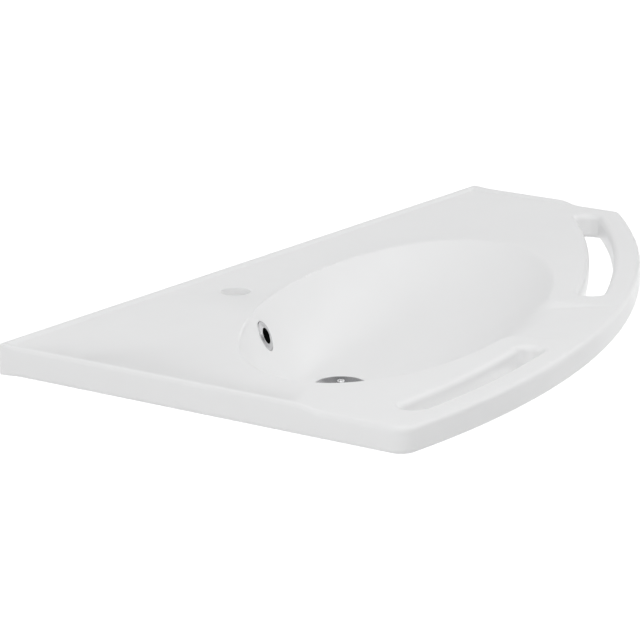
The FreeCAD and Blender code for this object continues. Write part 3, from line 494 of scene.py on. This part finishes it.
saddle_grid = box_grid(-100, 100, -246, -140, 2.0)
saddle_points = BOWL + saddle_grid[:, :1] * LONG_AXIS + saddle_grid[:, 1:] * SHORT_AXIS
saddle_points = saddle_points[bowl_share(saddle_points[:, 0], saddle_points[:, 1]) > 1.035]
step_points = np.concatenate([box_grid(LEFT + 2, LEFT + 16, -440, -396, 1.6),
                              box_grid(RIGHT - 16, RIGHT - 2, -168, -130, 1.6)])
free = np.concatenate([saddle_points, step_points])
keep = inside(free, top_loop)
for points, outs in slots.values():
    keep &= ~inside(free, points + outs * (SLOT_ROUNDING + 0.8))
free = np.concatenate([free[keep], bowl_points])
lines = [line_points((LEFT + 3, -y), (RIGHT - 3, -y), (0, 1), 12)[0] for y in (3, 3.6, 4.4, 6, 8, 8.6, 9.2)]
for x, straight, far in ((LEFT, -402, -420), (RIGHT, -135, -150)):
    inward = 1 if x == LEFT else -1
    lines += [line_points((x + inward * d, -4), (x + inward * d, straight if d < 8.2 else far), (1, 0), 12)[0]
              for d in (6.3, 6.9, 8.5, 10.2, 10.8, 11.4)]
slot_tops = [points + outs * SLOT_ROUNDING for points, outs in slots.values()]
top_holes = [*slot_tops, tap_top, waste_top, overflow_top[:, :2]]
count = basin.field([top_loop], top_holes, free, lines, upper_height)
print("upper face:", count, "triangles")

# %% [markdown]
# Nobody polishes the underside, but it is seen when the basin is hung.  It is hollow
# under the deck, to save material, and it follows the bowl from below.  Nested loops
# of points follow the hollow's step, because loose points would leave it ragged.

# %% Basin: lower face
STEP_INSETS = (-1.2, -0.4, 0.6, 1.5, 2.4, 3.4, 4.2)
tap_foot = circle(TAP_HOLE, TAP_RADIUS + 0.8, 72)
waste_foot = circle(WASTE, WASTE_BORE + 0.6, 96)
overflow_foot = seat_circle(OVERFLOW_BORE, 96, lower_height)
shares = np.concatenate([np.arange(1.03, 0.9, -0.012), np.linspace(0.885, 0.0, 26)])
turns = np.linspace(0, 2 * math.pi, 240, endpoint=False)
share_grid, turn_grid = np.meshgrid(shares, turns)
shell_points = bowl_ring(share_grid.ravel(), turn_grid.ravel(), SHELL)
clear = np.linalg.norm(shell_points - WASTE, axis=1) > 27
clear &= ~inside(shell_points, seat_circle(30, 64, lower_height)[:, :2])
shell_points = np.concatenate([shell_points[clear], circle(WASTE, 44, 96)])
pad = np.concatenate([seat_circle(radius, 64, lower_height)[:, :2]
                      for radius in (15, 19, 21, 23, 25, 27, 29)])
loops = [plan_outline(LEFT + WALL + inset, RIGHT - WALL - inset, -WALL - inset, HOLLOW_RADIUS - inset,
                      (8.0, 8.0, 8.0, 8.0), 8.0)[0] for inset in STEP_INSETS]
lines = [np.concatenate([loop, loop[:1]]) for loop in loops]
for side in (-1, 1):
    for inset in STEP_INSETS:
        start, end = (BOWL + side * (BRIDGE_HALF + inset) * LONG_AXIS + along * SHORT_AXIS
                      for along in (-225, -150))
        lines.append(line_points(start, end, (1, 0), 5)[0])
slot_feet = [points + outs * SLOT_ROUNDING for points, outs in slots.values()]
free = np.concatenate([shell_points, pad])
foot_holes = [*slot_feet, tap_foot, waste_foot, overflow_foot[:, :2]]
count = basin.field([foot_loop], foot_holes, free, lines, lower_height)
print("lower face:", count, "triangles")

# %% [markdown]
# The mould's edges are rounded, so that a hand can hold the slots and a cloth can
# slide over the rim.  Each edge is a strip of closed rows: a quarter round at the
# top, the upright wall, and a quarter round at the foot.

# %% Basin: the edges between the two faces
top_at = upper_height(top_loop[:, 0], top_loop[:, 1])
foot_at = np.full(len(plan), FOOT)
rows = edge_rows(plan, plan_out, top_at, top_radius, 10)
rows += edge_rows(plan, plan_out, foot_at, foot_radius, 8, rising=True)[::-1]
basin.strip(rows)
for points, outs in slots.values():
    same = np.full(len(points), SLOT_ROUNDING)
    rows = edge_rows(points, -outs, np.full(len(points), DECK), same, 10)
    rows += edge_rows(points, -outs, np.full(len(points), FOOT), same, 10, rising=True)[::-1]
    basin.strip(rows)


def turned_rows(centre, profile, count):
    """Rows round an upright axis from (radius, height) corners."""
    return [level(circle(centre, radius, count), height) for radius, height in profile]


tap_wall = turned_rows(TAP_HOLE, ((17.9, 56), (17.7, 55.96), (17.55, 55.83), (17.5, 55.6), (17.5, 42.8)), 72)
basin.strip([*tap_wall, np.column_stack([tap_foot, lower_height(tap_foot[:, 0], tap_foot[:, 1])])])
basin.strip(turned_rows(WASTE, ((29.6, -29), (29.24, -29.06), (28.92, -29.3), (28.8, -29.8), (28.8, -32.6),
                                (24.3, -32.6), (24, -32.9), (24, -40.4), (24.6, -41)), 96))


def sunk_seat(x, y):
    """The flat floor of the rosette's seat."""
    return seat_plane(x, y, -SEAT_SINK)


towards = np.array(OVERFLOW_OUT)
rim_edge = seat_circle(SEAT_RADIUS, 96, upper_height)
seat_edge = [seat_circle(radius, 96, sunk_seat) for radius in (SEAT_RADIUS, OVERFLOW_BORE)]
basin.strip([overflow_top, rim_edge - towards * 0.1, rim_edge - towards * 0.4, *seat_edge, overflow_foot])
basin = basin.piece("basin_casting")
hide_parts("basin")
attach(basin, "root")
print("basin casting faces:", len(basin.data.polygons))

# %% [markdown]
# ## The wall fixing under the back edge
# An upright plate with two bosses for the wall bolts and two gussets, all part of
# the same casting.  They are plain straight forms, so they are drawn as outlines,
# pulled to their thickness and bevelled.  The gussets stand a little inside the
# plate's ends: two faces in one plane would show as a black strip.



# %% Wall plate, bosses and gussets
def bevelled(name, work, width, segments=3):
    """A piece from a bmesh with its sharp edges rounded; lengths in millimetres."""
    sharp = [edge for edge in work.edges if edge.calc_face_angle(0) > math.radians(35)]
    bmesh.ops.bevel(work, geom=sharp, offset=width, segments=segments, affect="EDGES", profile=0.5,
                    clamp_overlap=True)
    bmesh.ops.scale(work, vec=(MM, MM, MM), verts=work.verts)
    mesh = bpy.data.meshes.new(name)
    work.to_mesh(mesh)
    work.free()
    mesh.shade_smooth()
    mesh.set_sharp_from_angle(angle=math.radians(35))
    item = bpy.data.objects.new(name, mesh)
    scene.collection.objects.link(item)
    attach(item, "root")
    return item


def prism(work, corners, low, high, axis):
    """A solid from a closed outline drawn across one axis, between two places on it."""
    ends = [[work.verts.new((place, a, b) if axis == "x" else (a, place, b)) for a, b in corners]
            for place in (low, high)]
    work.faces.new(ends[0])
    work.faces.new(ends[1][::-1])
    for i in range(len(corners)):
        j = (i + 1) % len(corners)
        work.faces.new((ends[0][i], ends[1][i], ends[1][j], ends[0][j]))
    bmesh.ops.recalc_face_normals(work, faces=work.faces)


PLATE_HALF, PLATE_FOOT, PLATE_TOP = 180, -28, 44
BOLT_SIDE, BOSS_RADIUS = 140, 20
GUSSET = ((-1, PLATE_TOP), (-62, PLATE_TOP), (-62, 38), (-14, -20), (-1, -20))
GUSSET_STARTS = {-1: -179.4, 1: 167.4}
GUSSET_WIDTH = 12
fixing = []
work = bmesh.new()
plate = [(-PLATE_HALF, PLATE_FOOT), (PLATE_HALF, PLATE_FOOT), (PLATE_HALF, PLATE_TOP), (-PLATE_HALF, PLATE_TOP)]
prism(work, plate, -WALL, -0.3, "y")
fixing.append(bevelled("wall_plate", work, 2.0))
for side, word in ((-1, "left"), (1, "right")):
    work = bmesh.new()
    outer = [(side * BOLT_SIDE + BOSS_RADIUS * math.cos(turn), BOSS_RADIUS * math.sin(turn))
             for turn in np.linspace(0, 2 * math.pi, 48, endpoint=False)]
    prism(work, outer, -26, -1, "y")
    fixing.append(bevelled(f"fixing_boss_{word}", work, 1.5))
    work = bmesh.new()
    prism(work, GUSSET, GUSSET_STARTS[side], GUSSET_STARTS[side] + GUSSET_WIDTH, "x")
    fixing.append(bevelled(f"gusset_{word}", work, 2.0))
print("fixing pieces:", [item.name for item in fixing])

# %% [markdown]
# ## Waste and overflow seen from above
# The strainer is pressed from one sheet: a flange, a funnel with eight slots and a
# raised hub for its screw.  It is turned, but a lathe can't leave slots open, so its
# two faces are triangulated with the slots in them, like the casting's.  The screw
# has no slots and is turned outright.

# %% Strainer and its screw
DISH = ((28.5, -1.5), (28.2, -0.7), (27.7, -0.15), (27.1, 0.0), (26.5, -0.15), (25.8, -0.55), (15.6, -4.3),
        (14.4, -4.6), (9.6, -4.6), (8.6, -4.1), (7.2, -1.6), (6.7, -1.0), (6.0, -0.8), (3.3, -0.8))
UNDERSIDE = ((24.0, -2.4), (15.2, -6.1), (8.6, -6.1), (5.6, -2.4), (3.3, -2.4))
FIELD_RADII = (27.1, 26.5, 26.1, 25.8, 25.4, 24, 22, 20, 18, 16.6, 15.6, 15.0, 14.4, 13, 11, 9.6, 9.0,
               8.6, 7.8, 7.2, 6.9, 6.7, 6.3, 6.0, 5.0)
FLANGE_EDGE = ((27.7, -0.15), (28.2, -0.7), (28.5, -1.5), (28.5, -2.4), (24.0, -2.4))
SLOT_NUMBER, SLOT_INNER, SLOT_OUTER, SLOT_END = 8, 10.6, 14.2, 1.7
seat_z = DECK - BOWL_DEPTH


def profile_height(profile, x, y):
    """Height of a turned profile over points of the plan, measured from the waste seat."""
    radii, heights = np.array(profile)[::-1].T
    return seat_z + np.interp(np.hypot(x - WASTE[0], y - WASTE[1]), radii, heights)


def strainer_slot(turn):
    """A rounded slot that points to the middle of the strainer."""
    around = np.radians(np.concatenate([np.linspace(90, 270, 9), np.linspace(-90, 90, 9)]))
    middle = np.where(np.arange(18) < 9, SLOT_INNER, SLOT_OUTER)
    along, across = middle + SLOT_END * np.cos(around), SLOT_END * np.sin(around)
    return WASTE + np.column_stack([along * math.cos(turn) - across * math.sin(turn),
                                    along * math.sin(turn) + across * math.cos(turn)])


strainer = Surface()
strainer_slots = [strainer_slot(2 * math.pi * i / SLOT_NUMBER) for i in range(SLOT_NUMBER)]
turned_points = np.concatenate([circle(WASTE, radius, 120) for radius in FIELD_RADII])
free = turned_points[~np.any([inside(turned_points, slot) for slot in strainer_slots], axis=0)]
within = free[np.hypot(*(free - WASTE).T) < 23.5]
bore_edge = circle(WASTE, 3.3, 40)
openings = [*strainer_slots, bore_edge]
strainer.field([circle(WASTE, 27.7, 120)], openings, free, [], lambda x, y: profile_height(DISH, x, y))
strainer.field([circle(WASTE, 24.0, 120)], openings, within, [], lambda x, y: profile_height(UNDERSIDE, x, y))
strainer.strip(turned_rows(WASTE, [(radius, seat_z + height) for radius, height in FLANGE_EDGE], 120))
for edge in openings:
    strainer.strip([np.column_stack([edge, profile_height(side, edge[:, 0], edge[:, 1])])
                    for side in (DISH, UNDERSIDE)])
strainer = strainer.piece("drain_strainer", sharp=40)
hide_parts("waste_strainer")
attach(strainer, "root")


# %% Screw with a hexagon socket
SCREW = ((0.01, -34.0), (2.5, -34.0), (3.0, -33.5), (3.0, 0.0), (4.3, 0.0), (4.4, 0.15), (4.4, 2.4),
         (4.34, 3.2), (4.14, 3.8), (3.84, 4.2), (3.45, 4.4), (3.1, 4.42), (2.8, 4.34))
SOCKET = ((2.7, 4.2), (2.6, 3.9), (2.5, 0.75))


def hexagon(radius, count):
    """Points round a hexagon; radius is that of its corners."""
    turn = np.linspace(0, 2 * math.pi, count, endpoint=False)
    reach = radius * math.cos(math.pi / 6) / np.cos(turn % (math.pi / 3) - math.pi / 6)
    return WASTE + reach[:, None] * np.column_stack([np.cos(turn), np.sin(turn)])


screw = Surface()
head_z = seat_z - 0.8
rows = turned_rows(WASTE, [(radius, head_z + height) for radius, height in SCREW], 48)
rows += [level(hexagon(radius, 48), head_z + height) for radius, height in SOCKET]
screw.strip([*rows, level(circle(WASTE, 0.01, 48), head_z + 0.6)])
screw = screw.piece("drain_screw", sharp=40, weld=0.03)
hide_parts("waste_screw")
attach(screw, "root")

# %% [markdown]
# The overflow's rosette is a turned ring that clips into the bowl's wall.  It could
# be made with a Screw modifier, but its axis leans, so its profile is swept round the
# overflow's axis by hand.  That axis leans 4 degrees from square to the wall, halfway
# to the angle in the photograph, where the wall is steeper.  A sleeve sits in the bore in
# place of the rosette's own sleeve; its near-black colour is painted shade for the dark channel behind the
# hole.


# %% Overflow rosette and the painted-shade sleeve in its bore
ROSETTE = (
    (17.6, 0.0), (17.6, 0.4), (17.54, 0.66), (17.36, 0.88), (17.05, 1.02), (16.6, 1.08), (16.1, 1.05),
    (15.6, 0.98), (15.0, 0.96), (14.4, 1.05), (13.8, 1.22), (13.1, 1.5), (12.4, 1.83), (11.7, 2.15),
    (11.2, 2.36), (10.75, 2.5), (10.4, 2.56), (10.1, 2.55), (9.85, 2.48), (9.66, 2.34), (9.54, 2.15),
    (9.5, 1.95), (9.62, 1.7), (10.6, 1.5), (11.9, 0.9), (12.0, 0.0))
# Profile of the sleeve in the overflow's bore, which wears painted shade.
SHADE_SLEEVE_PROFILE = ((9.51, 1.9), (9.51, -18.0), (10.6, -18.0), (10.6, -0.05), (10.58, 1.42), (9.63, 1.66))
ROSETTE_SEAL = ((17.3, -0.02), (17.4, -0.3), (17.4, -1.48), (12.4, -1.48), (12.3, -0.3), (12.4, -0.02))
SEAL_THICKNESS = 1.5


def turned_about_overflow(name, profile):
    """A closed ring from (radius, height) corners; heights start at the rosette's seal."""
    side = OVERFLOW_OUT.cross(Vector((0, 0, 1))).normalized()
    rise = np.array(side.cross(OVERFLOW_OUT))
    side, out = np.array(side), np.array(OVERFLOW_OUT)
    turn = np.linspace(0, 2 * math.pi, 96, endpoint=False)[:, None]
    spread = np.cos(turn) * side + np.sin(turn) * rise
    base = np.array(OVERFLOW) + out * (SEAL_THICKNESS - SEAT_SINK)
    rows = [base + radius * spread + height * out for radius, height in [*profile, profile[0]]]
    ring = Surface()
    ring.strip(rows)
    item = ring.piece(name, sharp=40)
    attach(item, "root")
    return item


rosette = turned_about_overflow("overflow_rosette", ROSETTE)
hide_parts("overflow_ring")
# The sleeve in the bore is near-black: painted shade for the dark channel behind the hole.
shade_sleeve = turned_about_overflow("overflow_painted_shade_sleeve", SHADE_SLEEVE_PROFILE)
rosette_seal = turned_about_overflow("overflow_rosette_seal", ROSETTE_SEAL)
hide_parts("overflow_ring_seal")

# %% [markdown]
# ## Materials
# Gelcoat, chrome, rubber and moulded plastic all carry a fine grain, and their gloss
# changes a little from place to place.  That is one effect with other values, so it
# is one node group with named inputs, made once and placed in each material.  The
# Principled shader stays in the material itself, where the export can read it.

# %% Material tools
def node_group(name, inputs, outputs):
    """A shader node group with named sockets and its in and out nodes."""
    group = bpy.data.node_groups.new(name, "ShaderNodeTree")
    for title, kind, value in inputs:
        socket = group.interface.new_socket(title, in_out="INPUT", socket_type=kind)
        socket.default_value = value
    for title, kind in outputs:
        group.interface.new_socket(title, in_out="OUTPUT", socket_type=kind)
    return group, group.nodes.new("NodeGroupInput"), group.nodes.new("NodeGroupOutput")


def add_node(tree, kind, **values):
    """A node with some of its inputs or settings filled in."""
    node = tree.nodes.new("ShaderNode" + kind)
    for name, value in values.items():
        title = name.replace("_", " ").title()
        if title in node.inputs:
            node.inputs[title].default_value = value
        else:
            setattr(node, name, value)
    return node


grain_group, grain_in, grain_out = node_group(
    "fine_grain",
    [("Scale", "NodeSocketFloat", 900.0), ("Height", "NodeSocketFloat", 0.1),
     ("Low", "NodeSocketFloat", 0.3), ("High", "NodeSocketFloat", 0.4)],
    [("Roughness", "NodeSocketFloat"), ("Normal", "NodeSocketVector")])
place = add_node(grain_group, "TexCoord")
fine = add_node(grain_group, "TexNoise", detail=3.0)
broad = add_node(grain_group, "TexNoise", scale=22.0, detail=2.0)
spread = add_node(grain_group, "MapRange", from_min=0.35, from_max=0.65)
bump = add_node(grain_group, "Bump", distance=0.0002)
links = grain_group.links
links.new(place.outputs["Object"], fine.inputs["Vector"])
links.new(place.outputs["Object"], broad.inputs["Vector"])
links.new(grain_in.outputs["Scale"], fine.inputs["Scale"])
links.new(broad.outputs["Fac"], spread.inputs["Value"])
links.new(grain_in.outputs["Low"], spread.inputs["To Min"])
links.new(grain_in.outputs["High"], spread.inputs["To Max"])
links.new(spread.outputs["Result"], grain_out.inputs["Roughness"])
links.new(grain_in.outputs["Height"], bump.inputs["Strength"])
links.new(fine.outputs["Fac"], bump.inputs["Height"])
links.new(bump.outputs["Normal"], grain_out.inputs["Normal"])
print("group:", grain_group.name)


def material(name, colour, grain=None, variation=0.0, **shader_values):
    """A Principled material whose roughness and bump come from the grain group."""
    made = bpy.data.materials.new(name)
    made.use_nodes = True
    tree = made.node_tree
    shader = tree.nodes["Principled BSDF"]
    shader.inputs["Base Color"].default_value = (*colour, 1)
    for title, value in shader_values.items():
        shader.inputs[title.replace("_", " ")].default_value = value
    if grain:
        group = tree.nodes.new("ShaderNodeGroup")
        group.node_tree = grain_group
        for title, value in zip(("Scale", "Height", "Low", "High"), grain):
            group.inputs[title].default_value = value
        tree.links.new(group.outputs["Roughness"], shader.inputs["Roughness"])
        tree.links.new(group.outputs["Normal"], shader.inputs["Normal"])
    if variation:
        noise = add_node(tree, "TexNoise", scale=9.0, detail=3.0)
        where = add_node(tree, "TexCoord")
        mix = add_node(tree, "MapRange", from_min=0.3, from_max=0.7, to_min=-variation, to_max=variation)
        shift = add_node(tree, "HueSaturation")
        shift.inputs["Color"].default_value = (*colour, 1)
        lift = add_node(tree, "Math", operation="ADD")
        lift.inputs[1].default_value = 1.0
        tree.links.new(where.outputs["Object"], noise.inputs["Vector"])
        tree.links.new(noise.outputs["Fac"], mix.inputs["Value"])
        tree.links.new(mix.outputs["Result"], lift.inputs[0])
        tree.links.new(lift.outputs["Value"], shift.inputs["Value"])
        tree.links.new(shift.outputs["Color"], shader.inputs["Base Color"])
    return made


gelcoat = material("white_gelcoat", (0.88, 0.88, 0.88), (1400.0, 0.06, 0.30, 0.36), 0.006,
                   IOR=1.5)
chrome = material("satin_chrome", (0.56, 0.56, 0.57), (600.0, 0.02, 0.26, 0.34), Metallic=1.0)
steel = material("brushed_stainless", (0.50, 0.50, 0.51), (900.0, 0.05, 0.18, 0.28), Metallic=1.0)
bright_steel = material("polished_stainless", (0.78, 0.78, 0.79), (900.0, 0.03, 0.10, 0.16), Metallic=1.0)
rubber = material("black_rubber", (0.03, 0.03, 0.03), (1100.0, 0.3, 0.6, 0.75), 0.05)
# Near-black and nearly unreflecting: painted shade for the dark channel behind the overflow hole.
painted_shade_material = material("painted_shade_black", (0.004, 0.004, 0.004), (1100.0, 0.3, 0.75, 0.9), 0.05, Specular_IOR_Level=0.1)
moulded = material("white_moulding", (0.72, 0.72, 0.70), (1600.0, 0.2, 0.42, 0.5), 0.01)
hose_plastic = material("hose_plastic", (0.55, 0.55, 0.54), (1300.0, 0.25, 0.4, 0.5), 0.02)
print("materials:", [item.name for item in bpy.data.materials])

# %% [markdown]
# ## Which piece wears what
# The casting is gelcoat all over, as it leaves the mould.  The metal trim is bright
# on the screw and brushed on the strainer.  Under the basin the solids of the frame
# are shown as they are, in rubber and in moulded plastic.


# %% Materials on the pieces
def dress(item, finish):
    """One finish on a piece, as its only material."""
    item.data.materials.clear()
    item.data.materials.append(finish)


for item in [basin, *fixing]:
    dress(item, gelcoat)
dress(strainer, steel)
dress(screw, bright_steel)
dress(rosette, chrome)
# The sleeve in the overflow's bore wears the painted shade.
dress(shade_sleeve, painted_shade_material)
dress(rosette_seal, rubber)
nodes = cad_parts
for finish, names in (
    (rubber, ("strainer_gasket", "waste_body_gasket", "overflow_elbow_seal",
              "hose_seal_upper", "hose_seal_lower")),
    (moulded, ("waste_body", "overflow_elbow", "hose_nut_upper", "hose_nut_lower")),
    (hose_plastic, ("overflow_hose",)),
):
    for name in names:
        dress(nodes[name], finish)
print("pieces dressed:", [item.name for item in (basin, strainer, screw, rosette, shade_sleeve)])

# %% [markdown]
# ## Floor, backdrop and light
# In the photograph the basin floats on pure white.  Brighter lamps would whiten the
# floor too, but they would burn out the gelcoat.  So the floor itself glows, for the
# camera and for reflections only, and more with distance.  To all other light it is
# plain matt, which gives the sides their soft light from below.  It keeps the
# object's shadow, because only part of its light is its own.

# %% Floor and world
FLOOR_HEIGHT, FLOOR_REACH = -0.80, 40
floor_mesh = bpy.data.meshes.new("floor")
corners = [(FLOOR_REACH * x, FLOOR_REACH * y, 0) for x, y in ((-1, -1), (1, -1), (1, 1), (-1, 1))]
floor_mesh.from_pydata(corners, [], [(0, 1, 2, 3)])
floor = bpy.data.objects.new("floor", floor_mesh)
floor.location = (0, 0, FLOOR_HEIGHT)
scene.collection.objects.link(floor)
print("floor at", floor.location.z, "m")

# %% Floor material
floor_material = bpy.data.materials.new("pale_floor")
floor_material.use_nodes = True
tree = floor_material.node_tree
matt = tree.nodes["Principled BSDF"]
matt.inputs["Base Color"].default_value = (0.8, 0.8, 0.8, 1)
matt.inputs["Roughness"].default_value = 0.9
glow = add_node(tree, "Emission", color=(1, 1, 1, 1))
where = add_node(tree, "TexCoord")
away = add_node(tree, "VectorMath", operation="LENGTH")
fade = add_node(tree, "MapRange", from_min=0.6, from_max=5.0, to_min=0.62, to_max=1.0)
tree.links.new(where.outputs["Object"], away.inputs[0])
tree.links.new(away.outputs["Value"], fade.inputs["Value"])
tree.links.new(fade.outputs["Result"], glow.inputs["Strength"])
path = add_node(tree, "LightPath")
seen = add_node(tree, "Math", operation="MAXIMUM")
seen_through = add_node(tree, "Math", operation="MAXIMUM")
both = add_node(tree, "AddShader")
choose = add_node(tree, "MixShader")
side = add_node(tree, "NewGeometry")
clear = add_node(tree, "BsdfTransparent")
one_sided = add_node(tree, "MixShader")
tree.links.new(path.outputs["Is Camera Ray"], seen.inputs[0])
tree.links.new(path.outputs["Is Glossy Ray"], seen.inputs[1])
tree.links.new(seen.outputs["Value"], seen_through.inputs[0])
tree.links.new(path.outputs["Is Transmission Ray"], seen_through.inputs[1])
tree.links.new(matt.outputs["BSDF"], both.inputs[0])
tree.links.new(glow.outputs["Emission"], both.inputs[1])
tree.links.new(seen_through.outputs["Value"], choose.inputs["Fac"])
tree.links.new(matt.outputs["BSDF"], choose.inputs[1])
tree.links.new(both.outputs["Shader"], choose.inputs[2])
tree.links.new(side.outputs["Backfacing"], one_sided.inputs["Fac"])
tree.links.new(choose.outputs["Shader"], one_sided.inputs[1])
tree.links.new(clear.outputs["BSDF"], one_sided.inputs[2])
tree.links.new(one_sided.outputs["Shader"], tree.nodes["Material Output"].inputs["Surface"])
floor_mesh.materials.append(floor_material)
print("floor glow:", fade.inputs["To Min"].default_value, "to", fade.inputs["To Max"].default_value)

# %% World
world = bpy.data.worlds.new("studio")
scene.world = world
world.use_nodes = True
tree = world.node_tree
ambient = tree.nodes["Background"]
ambient.inputs["Color"].default_value = (0.985, 0.992, 1.0, 1)
ambient.inputs["Strength"].default_value = 0.3426
print("ambient light:", ambient.inputs["Strength"].default_value)

# %% [markdown]
# ## Lamps
# A photographer would use a few big soft boxes and white boards.  Their places aren't
# known, so soft square lamps stand round the basin, and their powers were fitted so
# that the gelcoat shades as it does in the photograph.  None shows to the camera.


# %% Lamps
MIDDLE = Vector((0.1, -0.25, 0.03))
LAMPS = (
    # name, bearing clockwise from the camera's side and height angle in degrees,
    # side and distance in metres, power in watts
    ("lamp_behind_low", 180, 15, 2.0, 3.0, 4.18),
    ("lamp_behind_right_low", 225, 15, 2.0, 3.0, 9.70),
    ("lamp_front_left_low", 45, 15, 2.0, 3.0, 11.08),
    ("lamp_left_low", 90, 15, 2.0, 3.0, 13.03),
    ("lamp_front_high", 0, 45, 2.0, 3.0, 22.58),
    ("lamp_behind_left_high", 135, 45, 2.0, 3.0, 3.16),
    ("lamp_behind_right_high", 225, 45, 2.0, 3.0, 4.36),
    ("lamp_right_high", 270, 45, 2.0, 3.0, 15.57),
    ("lamp_front_right_high", 315, 45, 2.0, 3.0, 5.78),
    ("lamp_top", 0, 85, 2.0, 3.0, 10.73),
    ("lamp_below", 0, -30, 1.0, 1.2, 1.05),
)


def area_lamp(name, bearing, rise, side, distance, power):
    """A soft square lamp that faces the middle of the basin."""
    data = bpy.data.lights.new(name, "AREA")
    data.shape = "SQUARE"
    data.size = side
    data.energy = power
    heading = YAW + math.pi + math.radians(bearing)
    rise = math.radians(rise)
    towards_lamp = Vector((math.sin(heading) * math.cos(rise), math.cos(heading) * math.cos(rise),
                           math.sin(rise)))
    lamp = bpy.data.objects.new(name, data)
    lamp.location = MIDDLE + towards_lamp * distance
    lamp.rotation_euler = (-towards_lamp).to_track_quat("-Z", "Y").to_euler()
    lamp.visible_camera = False
    scene.collection.objects.link(lamp)
    return lamp


lamps = [area_lamp(*row) for row in LAMPS]
print("lamps:", len(lamps), "with", round(sum(lamp.data.energy for lamp in lamps), 1), "W")
